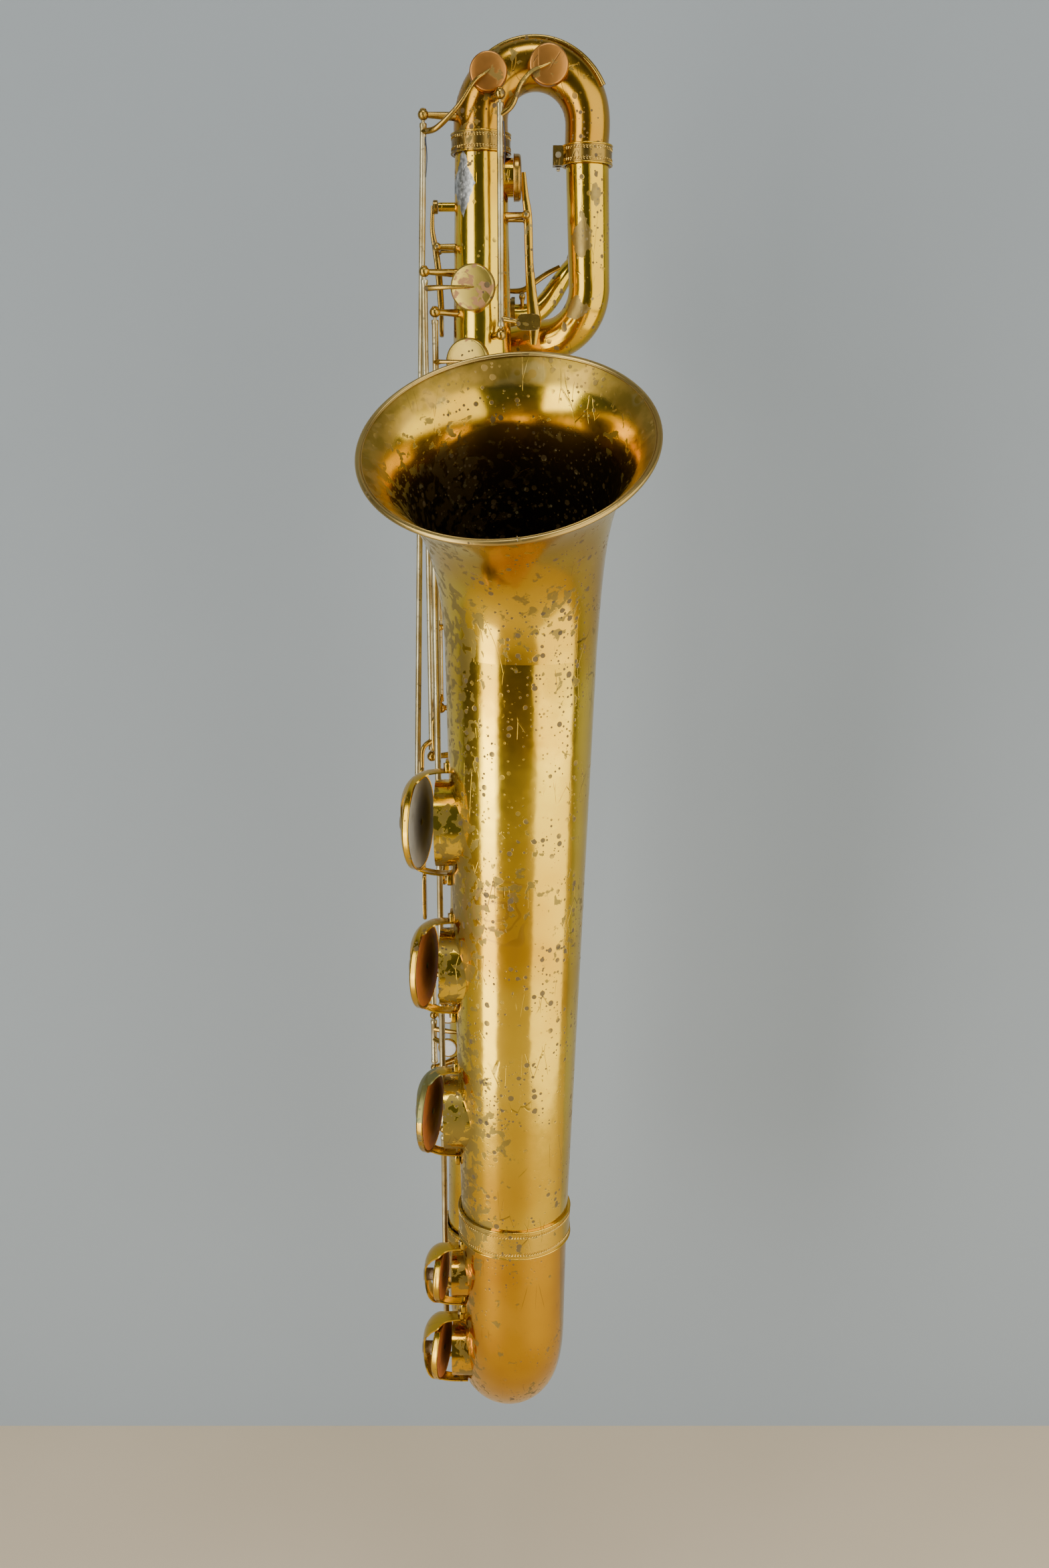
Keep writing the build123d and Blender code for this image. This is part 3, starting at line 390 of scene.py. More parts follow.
# BELL, BOW and BAND take left=: their left side gets heavier tarnish colour, partly painted shade.
BELL = aged_brass("bell_brass", GOLD, DEEP_GOLD, OLIVE, wear=0.40, pits=0.85, left=place((2, 0, 0)).x,
                  extra=bell_zones)
BOW = aged_brass("bow_brass", (0.70, 0.37, 0.022), ORANGE, OLIVE, wear=0.45, pits=0.5, left=LEFT_SIDE)
BAND = aged_brass("band_brass", (0.70, 0.44, 0.045), (0.52, 0.28, 0.02), OLIVE,
                  wear=0.5, pits=0.4, polish=0.2, left=LEFT_SIDE)
ENGRAVED = aged_brass("engraved_brass", (0.33, 0.21, 0.045), (0.26, 0.145, 0.03), (0.15, 0.11, 0.035),
                      wear=0.6, pits=0.3, polish=0.26)
LINKS = aged_brass("link_brass", (0.66, 0.46, 0.12), (0.50, 0.32, 0.07), OLIVE,
                   wear=0.35, pits=0.2, polish=0.2)
KEYWORK = aged_brass("key_brass", (0.46, 0.29, 0.055), (0.34, 0.19, 0.035), OLIVE,
                     wear=0.5, pits=0.4, polish=0.24)
COPPERY = aged_brass("copper_cups", (0.52, 0.23, 0.05), (0.42, 0.16, 0.035), OLIVE,
                     wear=0.45, pits=0.3, polish=0.34)
PINKISH = aged_brass("pink_cups", (0.44, 0.32, 0.065), (0.36, 0.20, 0.05), (0.40, 0.20, 0.10),
                     wear=0.75, pits=0.4, polish=0.34)
GUARD = aged_brass("guard_brass", (0.66, 0.40, 0.035), (0.40, 0.23, 0.03), (0.22, 0.19, 0.085),
                   wear=0.6, pits=0.5, polish=0.2, extra=verdigris)
RIM = aged_brass("rim_brass", (0.50, 0.35, 0.11), (0.40, 0.25, 0.06), OLIVE, wear=0.45, pits=0.3, polish=0.3)
ROD = plain_metal("rod_metal", (0.50, 0.43, 0.25), (0.36, 0.27, 0.11), 0.24)
SLEEVE = plain_metal("sleeve_metal", (0.62, 0.55, 0.34), (0.44, 0.33, 0.13), 0.24)
SCREW = plain_metal("screw_metal", (0.50, 0.42, 0.26), (0.36, 0.28, 0.15), 0.3)
SPRING = plain_metal("blued_spring", (0.035, 0.040, 0.055), (0.06, 0.055, 0.06), 0.3)
GREY_PAD = leather("grey_pad_leather", (0.50, 0.47, 0.40), (0.34, 0.31, 0.25), (0.26, 0.22, 0.16))
TAN_PAD = leather("tan_pad_leather", (0.50, 0.15, 0.025), (0.36, 0.10, 0.02), (0.20, 0.06, 0.02))
PEARL = pearl_shell()
FELT = soft_matter("felt", (0.20, 0.15, 0.10), (0.34, 0.27, 0.18), 700.0, 0.8, 0.6)
CORK = soft_matter("cork", (0.50, 0.34, 0.19), (0.66, 0.49, 0.31), 380.0, 0.7, 0.5)
CANE = soft_matter("cane", (0.70, 0.55, 0.29), (0.80, 0.68, 0.42), 240.0, 0.5, 0.2)
EBONITE = soft_matter("ebonite", (0.012, 0.012, 0.013), (0.022, 0.020, 0.019), 150.0, 0.16, 0.05)

CAD_LOOKS = {
    "body_tube": TUBE, "loop_tube": LOOP, "neck": TUBE, "upper_bow": CROWN, "bell": BELL, "bell_rim": RIM,
    "bottom_bow": BOW, "ferrules": ENGRAVED, "bow_rings": BAND, "neck_receiver": ENGRAVED,
    "lyre_socket": ENGRAVED, "bow_guard_wire": KEYWORK, "bell_brace": KEYWORK, "hinge_rods": ROD,
    "ball_posts": KEYWORK, "guard_screws": SCREW, "clamp_screws": SCREW, "guard_bumpers": FELT,
    "neck_cork": CORK, "mouthpiece": EBONITE, "reed": CANE, "ligature": ROD,
}


def dress_cad_nodes():
    """Gives every carried-over node its finish."""
    for name, node in NODES.items():
        look = CAD_LOOKS.get(name, KEYWORK)
        if name.endswith("_pad"):
            look = TAN_PAD
        elif name.endswith("_pearl"):
            look = PEARL
        node.data.materials.clear()
        node.data.materials.append(look)


# ------------------------------------------------------------------ shapes

SHARP_EDGE = radians(38)


def joined(name, parts, material, body=ROOT):
    """Meshes in instrument millimetres as one new piece that rides on a body. It is shaded round,
    except at its sharp edges."""
    vertices, faces = [], []
    for more, shapes in parts:
        first = len(vertices)
        vertices += more
        faces += [tuple(first + i for i in shape) for shape in shapes]
    mesh = bpy.data.meshes.new(name)
    mesh.from_pydata([place(v) for v in vertices], [], faces)
    mesh.validate()
    mesh.polygons.foreach_set("use_smooth", [True] * len(mesh.polygons))
    mesh.set_sharp_from_angle(angle=SHARP_EDGE)
    made = bpy.data.objects.new(name, mesh)
    bpy.context.scene.collection.objects.link(made)
    made.data.materials.append(material)
    bpy.context.view_layer.objects.active = made
    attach(made, body)
    return made


def across(direction):
    """Two unit directions at right angles to a direction."""
    direction = direction.normalized()
    helper = UP if abs(direction.z) < 0.9 else RIGHT
    first = direction.cross(helper).normalized()
    return first, direction.cross(first).normalized()


def grid_faces(rows, columns, first=0, wrap_rows=False):
    """Faces of a grid that closes on itself across its columns, and along its rows if asked."""
    faces = []
    last = rows if wrap_rows else rows - 1
    for row in range(last):
        below, above = first + row * columns, first + (row + 1) % rows * columns
        for column in range(columns):
            beside = (column + 1) % columns
            faces.append((below + column, below + beside, above + beside, above + column))
    return faces


def smooth_path(points, steps=8):
    """Points on a rounded line through given points."""
    points = [Vector(p) for p in points]
    ends = [points[0] * 2 - points[1]] + points + [points[-1] * 2 - points[-2]]
    path = []
    for a, b, c, d in zip(ends, ends[1:], ends[2:], ends[3:]):
        for step in range(steps):
            t = step / steps
            path.append(
                (b * 2 + (c - a) * t + (a * 2 - b * 5 + c * 4 - d) * t**2
                 + (b * 3 - a - c * 3 + d) * t**3) / 2
            )
    return path + [points[-1]]


def tube_mesh(path, radii, sides=16, squash=1.0, flat=None):
    """Vertices and faces of a round bar along a path, closed at both ends; with flat it is
    squashed along that direction."""
    vertices = []
    normal = None
    count = len(path)
    for i, point in enumerate(path):
        ahead = (path[min(i + 1, count - 1)] - path[max(i - 1, 0)]).normalized()
        if normal is None:
            normal = across(ahead)[0]
        normal = (normal - ahead * normal.dot(ahead)).normalized()
        binormal = ahead.cross(normal)
        for side in range(sides):
            turn = 2 * pi * side / sides
            offset = (normal * cos(turn) + binormal * sin(turn)) * radii[i]
            if flat is not None:
                offset -= flat * offset.dot(flat) * (1 - squash)
            vertices.append(point + offset)
    faces = grid_faces(count, sides)
    faces = [tuple(reversed(face)) for face in faces]
    faces.append(tuple(range(sides)))
    faces.append(tuple(reversed(range((count - 1) * sides, count * sides))))
    return vertices, faces


def taper(count, start, end, power=1.0):
    return [start + (end - start) * (i / (count - 1)) ** power for i in range(count)]


def wire(name, points, start, end, material):
    """A thin round wire on a rounded line, with its radius at either end."""
    path = smooth_path(points)
    return joined(name, [tube_mesh(path, taper(len(path), start, end), 8)], material)


def lathe_mesh(profile, origin, direction, sides=64):
    """A closed outline of (radius, height) turned about a line; points on the line close it."""
    origin, direction = Vector(origin), Vector(direction).normalized()
    first, second = across(direction)
    vertices, rings = [], []
    for radius, height in profile:
        foot = origin + direction * height
        if radius < 1e-6:
            rings.append((len(vertices), 1))
            vertices.append(foot)
            continue
        rings.append((len(vertices), sides))
        for side in range(sides):
            turn = 2 * pi * side / sides
            vertices.append(foot + (first * cos(turn) + second * sin(turn)) * radius)
    faces = []
    closed = profile[0][0] > 1e-6
    pairs = list(zip(rings, rings[1:] + ([rings[0]] if closed else [])))
    for (low, low_count), (high, high_count) in pairs:
        for side in range(sides):
            beside = (side + 1) % sides
            if low_count == 1 and high_count == 1:
                continue
            if low_count == 1:
                faces.append((low, high + side, high + beside))
            elif high_count == 1:
                faces.append((low + side, high, low + beside))
            else:
                faces.append((low + side, high + side, high + beside, low + beside))
    return vertices, faces


def lathe(name, profile, origin, direction, material, sides=64):
    """A turned piece fixed to the instrument."""
    return joined(name, [lathe_mesh(profile, origin, direction, sides)], material)


def arc(centre, radius, start, end, steps=8):
    """Outline points on an arc, angles in degrees."""
    span = range(steps + 1)
    turns = [radians(start + (end - start) * i / steps) for i in span]
    return [(centre[0] + radius * cos(t), centre[1] + radius * sin(t)) for t in turns]


def bead(name, centre, direction, radius, thick, material, sides=160):
    """A thin round ring."""
    lathe(name, arc((radius, 0), thick, 0, 330, 11), centre, direction, material, sides)


# ------------------------------------------------------------------ engraved rings


def chain_row(centre, direction, radius, link=2.5):
    """A row of small oval links lying round a band."""
    first, second = across(direction)
    count = int(2 * pi * radius / (link * 0.86))
    parts = []
    for i in range(count):
        turn = 2 * pi * i / count
        out = first * cos(turn) + second * sin(turn)
        side = direction.cross(out)
        slant = (side + direction * 0.45).normalized()
        middle = centre + out * radius
        vertices = []
        around, section = 10, 5
        for a in range(around):
            swing = 2 * pi * a / around
            edge = slant * (cos(swing) * link * 0.55) + direction * (sin(swing) * link * 0.33)
            for b in range(section):
                lift = 2 * pi * b / section
                vertices.append(middle + edge * (1 + 0.2 * cos(lift)) + out * (0.34 * sin(lift)))
        parts.append((vertices, grid_faces(around, section, 0, True)))
    return parts


def engraved_ring(name, centre, direction, radius, half, rows):
    centre, direction = Vector(centre), Vector(direction)
    for sign in (-1, 1):
        bead(f"{name}_bead_{'low' if sign < 0 else 'high'}", centre + direction * (half * sign), direction,
             radius, 0.7, BAND)
    parts = []
    for offset in rows:
        parts += chain_row(centre + direction * offset, direction, radius)
    joined(f"{name}_chain", parts, LINKS)


# ------------------------------------------------------------------ keys

PAD_GAP, PAD_THICK, CUP_DEPTH, CUP_WALL = 0.3, 4.0, 5.5, 1.4
TUBE_RADIUS, BORE_RADIUS, ARM_RADIUS = 2.4, 1.3, 2.0
CUP_SIDES, PAD_SIDES, PAD_FILL = 96, 72, 0.8
BELL_HINGE, STACK_HINGE, UPPER_HINGE = (-34.0, -88.0), (-44.0, -40.0), (-36.0, -33.0)
HIGH_E_LEAN = 0.0265


class Key:
    """A key whose cup closes one tone hole and turns on an upright hinge."""

    def __init__(self, name, centre, facing, rim, pad, hinge, tube, opened, cup=None, leather=None):
        self.name = name
        self.out = Vector((cos(radians(facing)), sin(radians(facing)), 0))
        self.axis_point = Vector(centre)
        self.seat = self.axis_point + self.out * rim
        self.pad, self.hinge, self.tube, self.opened = pad, hinge, tube, opened
        self.back = self.seat + self.out * (PAD_GAP + CUP_DEPTH + 1.0)
        self.cup, self.leather = cup or KEYWORK, leather or TAN_PAD

    def hinge_at(self, height):
        lean = HIGH_E_LEAN * (self.tube[1] - height) if self.name == "high_e_key" else 0.0
        return Vector((self.hinge[0] - lean, self.hinge[1], height))

    def rest(self, point):
        """Where a point of the closed key is when the key is at rest."""
        if not self.opened:
            return point
        pivot = self.hinge_at(0)
        turned = Matrix.Rotation(radians(-self.opened), 3, "Z") @ (point - pivot)
        return turned + pivot


def front_key(name, height, lean, pad, reach, tube, cup):
    rim = body_radius(height) + 5.0
    out = radians(-90.0 - lean)
    hinge = (cos(out) * (rim + 2) + reach * sin(out), sin(out) * (rim + 2) - reach * cos(out))
    return Key(name, (0, 0, height), -90.0 - lean, rim, pad, hinge, tube, 0.0, cup)


BELL_KEYS = [
    Key("low_a_key", bell_axis(531), 180, 61.7, 34.3, BELL_HINGE, (494, 740), 12.0, GUARD, GREY_PAD),
    Key("low_bflat_key", bell_axis(416), 180, 58.8, 31.4, BELL_HINGE, (378, 482), 12.0, GUARD),
    Key("low_b_key", bell_axis(292), 180, 55.8, 30.5, BELL_HINGE, (260, 366), 12.0, GUARD),
    Key("low_csharp_key", bell_axis(145), 180, 50.7, 20.0, BELL_HINGE, (116, 248), 9.0, GUARD),
    Key("low_c_key", (22.9, -118.5, 70.0), 180, 49.9, 24.0, BELL_HINGE, (46, 104), 12.0, GUARD),
]
GUARD_REACH = {
    "low_a_key": 59.5,
    "low_bflat_key": 55.0,
    "low_b_key": 52.5,
    "low_csharp_key": 49.0,
    "low_c_key": 52.0,
}
LOWER_STACK = [
    Key("f_key", (0, 0, 372), -90, 37.5, 18.0, STACK_HINGE, (339, 395), 7.5),
    Key("e_key", (0, 0, 322), -90, 38.2, 18.0, STACK_HINGE, (291, 330), 7.5),
    Key("d_key", (0, 0, 272), -90, 39.0, 18.0, STACK_HINGE, (243, 282), 7.5),
]
PEARL_HEIGHTS = {"f_key": 343.0, "e_key": 313.0, "d_key": 262.0}
UPPER_STACK = [
    Key("b_key", (0, 0, 790), -90, 29.2, 13.5, UPPER_HINGE, (772, 812), 7.0),
    Key("a_key", (0, 0, 742), -90, 30.0, 14.5, UPPER_HINGE, (722, 761), 7.0),
    Key("g_key", (0, 0, 692), -90, 31.0, 15.5, UPPER_HINGE, (668, 711), 7.0),
]
SIDE_KEYS = [
    front_key("side_c_key", 918.6, 12.0, 15.6, 38.0, (560, 925), PINKISH),
    front_key("side_bflat_key", 865.0, 20.0, 16.0, 27.0, (600, 896), PINKISH),
]
HIGH_E = Key("high_e_key", (6.4, 0, 1068), -90, 21.6, 12.4, (-42.6, -12.0), (500, 1036), 0.0, COPPERY)
HIGH_F = Key("high_f_key", (50.5, 0, 1072.6), -90, 21.6, 13.0, (15.0, -32.0), (890, 1046), 0.0, COPPERY)
ARMS = {
    "high_e_key": ((-42.9, -12, 1030), (-32, -21, 1031), (-16, -28, 1044), (-4, -29.5, 1060)),
    "high_f_key": ((15, -32, 1037), (24, -33, 1044), (30, -31, 1058), (38, -29.5, 1067)),
}
LOW_TOUCHES = {
    "low_a_key": (728, 0, 10, 16, 22),
    "low_bflat_key": (470, 0, 10, 16, 16),
    "low_b_key": (360, 0, 9, 10, 9),
    "low_csharp_key": (240, 0, 10, 16, 12),
    "low_c_key": (96, 4, 10, 16, 12),
}
LONG_TOUCHES = {
    "side_c_key": (568, ((-50, -26, 562), (-51, -27, 545)), (-51, -27, 532), (3, 12, 30)),
    "side_bflat_key": (606, ((-37, -30, 594), (-40, -34, 588)), (-40, -34, 576), (3, 12, 28)),
    "high_f_key": (896, ((30, -36, 893),), (36, -37, 893), (18, 3, 12)),
    "high_e_key": (508, ((-53, -21, 502), (-51, -22, 452)), (-51, -22, 434), (3, 13, 40)),
}
PEARL_X, PEARL_FACE, PEARL_RADIUS, PEARL_RIM = -29.0, -54.0, 7.2, 8.3


def cup_profile(pad):
    """A turned cup with a rounded shoulder, a low crowned back and an open pocket for the pad."""
    outer, top = pad + CUP_WALL, PAD_GAP + CUP_DEPTH
    shoulder = min(2.4, pad * 0.14)
    outline = [(pad, PAD_THICK + PAD_GAP), (pad, PAD_GAP), (outer, PAD_GAP), (outer + 0.25, PAD_GAP + 0.5)]
    outline += [(outer, PAD_GAP + 1.1), (outer, top - shoulder)]
    outline += arc((outer - shoulder, top - shoulder), shoulder, 15, 80, 5)
    for share in (0.72, 0.5, 0.25):
        outline.append(((outer - shoulder) * share, top + 0.8 * (1 - share**2)))
    return [(0, PAD_THICK + PAD_GAP)] + outline + [(0, top + 0.8)]


def pad_profile(pad):
    """A soft pad: a swollen leather ring round a pressed seat; build_key sets a metal rivet in its middle."""
    edge = pad - 0.1
    face = [(0, PAD_GAP + 0.2), (pad * 0.2, PAD_GAP + 0.1), (pad * 0.55, PAD_GAP)]
    face += [(pad * 0.70, PAD_GAP - 0.05), (pad * 0.78, PAD_GAP + 0.35)]
    face += [(pad * 0.84, PAD_GAP - 0.05), (edge - 0.6, PAD_GAP - 0.1)]
    return face + [(edge, PAD_GAP + 0.6), (edge, PAD_GAP + PAD_THICK - 0.1), (0, PAD_GAP + PAD_THICK - 0.1)]


def hinge_sleeve(key):
    """The hinge tube with a raised collar at each end."""
    low, high = key.tube
    collar, lift = 3.0, 0.35
    inner = [(BORE_RADIUS, high - low), (BORE_RADIUS, 0)]
    outer = [(TUBE_RADIUS + lift - 0.3, 0), (TUBE_RADIUS + lift, 0.4), (TUBE_RADIUS + lift, collar)]
    outer += [(TUBE_RADIUS, collar + 0.5), (TUBE_RADIUS, high - low - collar - 0.5)]
    outer += [(TUBE_RADIUS + lift, high - low - collar), (TUBE_RADIUS + lift, high - low - 0.4)]
    outer += [(TUBE_RADIUS + lift - 0.3, high - low)]
    start, end = key.hinge_at(low), key.hinge_at(high)
    return lathe_mesh(inner + outer, start, end - start, 24)


def arm_mesh(key):
    """The arm that rises from the hinge and ends as a pointed spine on the cup's back."""
    if key.name in ARMS:
        points = [Vector(p) for p in ARMS[key.name]]
    else:
        hinge = key.hinge_at(key.axis_point.z)
        sideways = key.seat - hinge
        sideways = (sideways - key.out * sideways.dot(key.out)).normalized()
        edge = key.back - sideways * (key.pad + CUP_WALL + 2)
        points = [hinge, hinge.lerp(edge, 0.55) + key.out * 0.8, edge + key.out * 0.2]
    last = (key.back - points[-1]).normalized()
    points.append(key.back - last * key.pad * 0.35 + key.out * 0.3)
    points.append(key.back + last * key.pad * 0.10 + key.out * 0.1)
    path = smooth_path(points)
    radii = taper(len(path), 2.3, 0.6, 1.4)
    return tube_mesh(path, radii)


def rounded_plate(centre, size, dome=0.5):
    """A finger touch: a rounded rectangle, a little crowned on its broad faces."""
    centre = Vector(centre)
    thin = min(range(3), key=lambda i: size[i])
    u, v = [i for i in range(3) if i != thin]
    half_u, half_v = size[u] / 2, size[v] / 2
    sides, rings = 40, (1.0, 0.96, 0.8, 0.5, 0.2)
    vertices = []
    order = [(-1, share) for share in reversed(rings)] + [(1, share) for share in rings]
    for sign, share in order:
        for side in range(sides):
            turn = 2 * pi * side / sides
            c, s = cos(turn), sin(turn)
            point = Vector((0, 0, 0))
            point[u] = half_u * share * (abs(c) ** 0.55) * (1 if c > 0 else -1)
            point[v] = half_v * share * (abs(s) ** 0.55) * (1 if s > 0 else -1)
            height = size[thin] / 2 * (0.55 if share == 1.0 else 1.0) + dome * (1 - share) * 0.6
            point[thin] = sign * height
            vertices.append(centre + point)
    faces = grid_faces(len(order), sides)
    faces.append(tuple(reversed(range(sides))))
    faces.append(tuple(range((len(order) - 1) * sides, len(order) * sides)))
    return vertices, faces


def pearl_place(key):
    return Vector((PEARL_X, PEARL_FACE, PEARL_HEIGHTS[key.name]))


def pearl_seat(key):
    """The shallow brass cup that holds a finger pearl."""
    cup = [(0, 0), (PEARL_RIM - 1.6, 0), (PEARL_RIM - 0.4, 1.0), (PEARL_RIM, 2.6), (PEARL_RIM - 0.2, 3.2)]
    cup += [(PEARL_RADIUS, 3.2), (PEARL_RADIUS, 1.2), (0, 1.2)]
    return lathe_mesh(cup, pearl_place(key), FRONT, 48)


def touch_meshes(key):
    x, y = key.hinge
    if key.name in LOW_TOUCHES:
        height, step, arm, wide, tall = LOW_TOUCHES[key.name]
        start, end = Vector((x, y, height)), Vector((x - step, y + arm, height))
        plate = rounded_plate((x - step, y + arm + wide / 2 - ARM_RADIUS, height), (3.0, wide, tall))
        return [tube_mesh([start, start.lerp(end, 0.5), end], [2.3, 1.8, 1.9]), plate]
    if key.name in LONG_TOUCHES:
        height, knees, centre, size = LONG_TOUCHES[key.name]
        path = smooth_path([key.hinge_at(height), *knees])
        return [tube_mesh(path, taper(len(path), 2.3, 1.6)), rounded_plate(centre, size)]
    if key.name in PEARL_HEIGHTS:
        height = PEARL_HEIGHTS[key.name]
        knees = ((PEARL_X - 4, PEARL_FACE + 4, height), (PEARL_X, PEARL_FACE - 0.3, height))
        path = smooth_path([key.hinge_at(height), *knees])
        return [tube_mesh(path, taper(len(path), 2.2, 2.4)), pearl_seat(key)]
    return []


def moved(mesh, key):
    vertices, faces = mesh
    return [key.rest(v) for v in vertices], faces


def build_key(key):
    name = key.name.replace("_key", "")
    body = key.name
    cup = lathe_mesh(cup_profile(key.pad), key.seat, key.out, CUP_SIDES)
    cup_piece = joined(f"{name}_cup", [moved(cup, key)], key.cup, body)
    works = [arm_mesh(key)] + touch_meshes(key)
    joined(f"{name}_arm", [moved(mesh, key) for mesh in works], KEYWORK, body)
    joined(f"{name}_hinge_tube", [moved(hinge_sleeve(key), key)], SLEEVE, body)
    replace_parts(cup_piece, key.name)
    pad = lathe_mesh(pad_profile(key.pad), key.seat, key.out, PAD_SIDES)
    pad_piece = joined(f"{name}_soft_pad", [moved(pad, key)], key.leather, body)
    if f"{name}_pad" in NODES:
        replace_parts(pad_piece, f"{name}_pad")
    rivet = [(0, -0.5), (1.6, -0.35), (2.6, 0.1), (2.6, 0.4), (0, 0.4)]
    rivet = [(radius, height + PAD_GAP) for radius, height in rivet]
    joined(f"{name}_rivet", [moved(lathe_mesh(rivet, key.seat, key.out, 32), key)], SCREW, body)
    if key.name in PEARL_HEIGHTS:
        shell = [(0, 1.25), (PEARL_RADIUS - 0.1, 1.25), (PEARL_RADIUS - 0.1, 3.0)]
        shell += arc((PEARL_RADIUS - 1.1, 3.0), 1.0, 20, 70, 3)
        shell += [(PEARL_RADIUS * 0.5, 3.85), (0, 3.6)]
        mesh = lathe_mesh(shell, pearl_place(key), FRONT, 48)
        pearl = joined(f"{name}_pearl_shell", [moved(mesh, key)], PEARL, body)
        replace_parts(pearl, f"{name}_pearl")


PALM_HEIGHT, PALM_RIM, PALM_PAD = 1000.0, 24.4, 15.5
PALM_HINGE, OCTAVE_HINGE, NECK_HINGE = Vector((34, 0, 972)), Vector((-34, 5, 950)), Vector((31, 77, 921.5))
OCTAVE_POINT = Vector((-33.0, 5.0, 980.0))


def level_sleeve(hinge, half):
    """A short hinge tube that lies level, front to back, with collared ends."""
    collar = TUBE_RADIUS + 0.3
    outline = [(BORE_RADIUS, half), (BORE_RADIUS, -half), (collar, -half), (collar, -half + 1.6)]
    outline += [(TUBE_RADIUS, -half + 2.0), (TUBE_RADIUS, half - 2.0), (collar, half - 1.6), (collar, half)]
    return lathe_mesh(outline, hinge, BACK, 24)


def flat_lever(points, widths, thin):
    """A flat lever seen from the front: widths are half widths at the given points."""
    path = smooth_path(points)
    steps = (len(path) - 1) // (len(points) - 1)
    radii = []
    for i in range(len(path)):
        span = min(i // steps, len(widths) - 2)
        share = i / steps - span
        radii.append(widths[span] + (widths[span + 1] - widths[span]) * share)
    return tube_mesh(path, radii, 20, thin, BACK)


def build_palm_key():
    body = "palm_d_key"
    seat = Vector((PALM_RIM, 0, PALM_HEIGHT))
    cup = lathe_mesh(cup_profile(PALM_PAD), seat, RIGHT, CUP_SIDES)
    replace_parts(joined("palm_cup", [cup], KEYWORK, body), "palm_d_key")
    points = ((32.2, 0, 1004), (33.4, 0, 988), (35.5, 0, 972), (36.5, 0, 940), (38.6, 0, 914), (40.4, 0, 897),
              (39.8, 0, 879))
    lever = flat_lever(points, (1.6, 2.6, 3.2, 3.2, 4.2, 5.5, 2.6), 0.42)
    joined("palm_lever", [level_sleeve(PALM_HINGE, 7.0), lever], GUARD, body)
    pad = lathe_mesh(pad_profile(PALM_PAD), seat, RIGHT, PAD_SIDES)
    pad = joined("palm_soft_pad", [pad], TAN_PAD, body)
    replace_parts(pad, "palm_d_pad")


def build_octave_keys():
    cap = [(0, 0.4), (4.6, 0.4), (5.1, 0.9), (5.2, 3.6), (4.4, 4.2), (0, 4.4)]
    button = lathe_mesh(cap, OCTAVE_POINT, LEFT, 40)
    knees = ((-37.4, 5, 981), (-38, 5, 964), (-35.8, 5, 950), (-33.4, 5, 930), (-32, 7, 905))
    lever = flat_lever(knees, (1.4, 1.8, 2.4, 2.6, 2.4), 0.55)
    plate = rounded_plate((-32, 9, 896), (3, 12, 22))
    works = [button, level_sleeve(OCTAVE_HINGE, 6.0), lever, plate]
    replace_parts(joined("octave_lever", works, KEYWORK, "octave_key"), "octave_key")
    strap = flat_lever(((16, 77, 926), (31, 77, 926.5), (40, 77, 932), (52, 79, 940), (62, 78, 945)),
                       (1.8, 2.4, 2.4, 2.2, 1.8), 0.9)
    works = [level_sleeve(NECK_HINGE, 4.0), strap]
    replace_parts(joined("neck_octave_lever", works, KEYWORK, "neck_octave_key"), "neck_octave_key")


ALL_KEYS = BELL_KEYS + LOWER_STACK + UPPER_STACK + SIDE_KEYS + [HIGH_E, HIGH_F]

# ------------------------------------------------------------------ guards over the low keys

GUARD_GAP, GUARD_THICK = 3.0, 2.0
FOOT_WIDE, FOOT_TALL = 12.0, 9.0


def skin(key):
    """Where the bell's or the bow's wall is, level with a key's cup."""
    if key.axis_point.z > BOW_TOP:
        share = (key.axis_point.z - BOW_TOP) / (FLARE_START.z - BOW_TOP)
        return key.axis_point.x - BELL_JOINT_RADIUS - (FLARE_START_RADIUS - BELL_JOINT_RADIUS) * share
    return key.axis_point.x - BOW_BELL_END


def guard_half(key):
    return key.pad + CUP_WALL + GUARD_GAP + GUARD_THICK


def strap_width(share):
    """Half the guard's width along its run: feet narrow, shoulders broad, pinched above the
    middle and flared to a lobe below it."""
    marks = ((0.0, 6.0), (0.08, 7.0), (0.2, 13.0), (0.33, 12.0), (0.44, 7.5), (0.6, 13.0), (0.72, 12.0),
             (0.84, 6.0), (1.0, 5.5))
    for (start, low), (end, high) in zip(marks, marks[1:]):
        if share <= end:
            t = (share - start) / (end - start)
            t = t * t * (3 - 2 * t)
            return low + (high - low) * t
    return marks[-1][1]


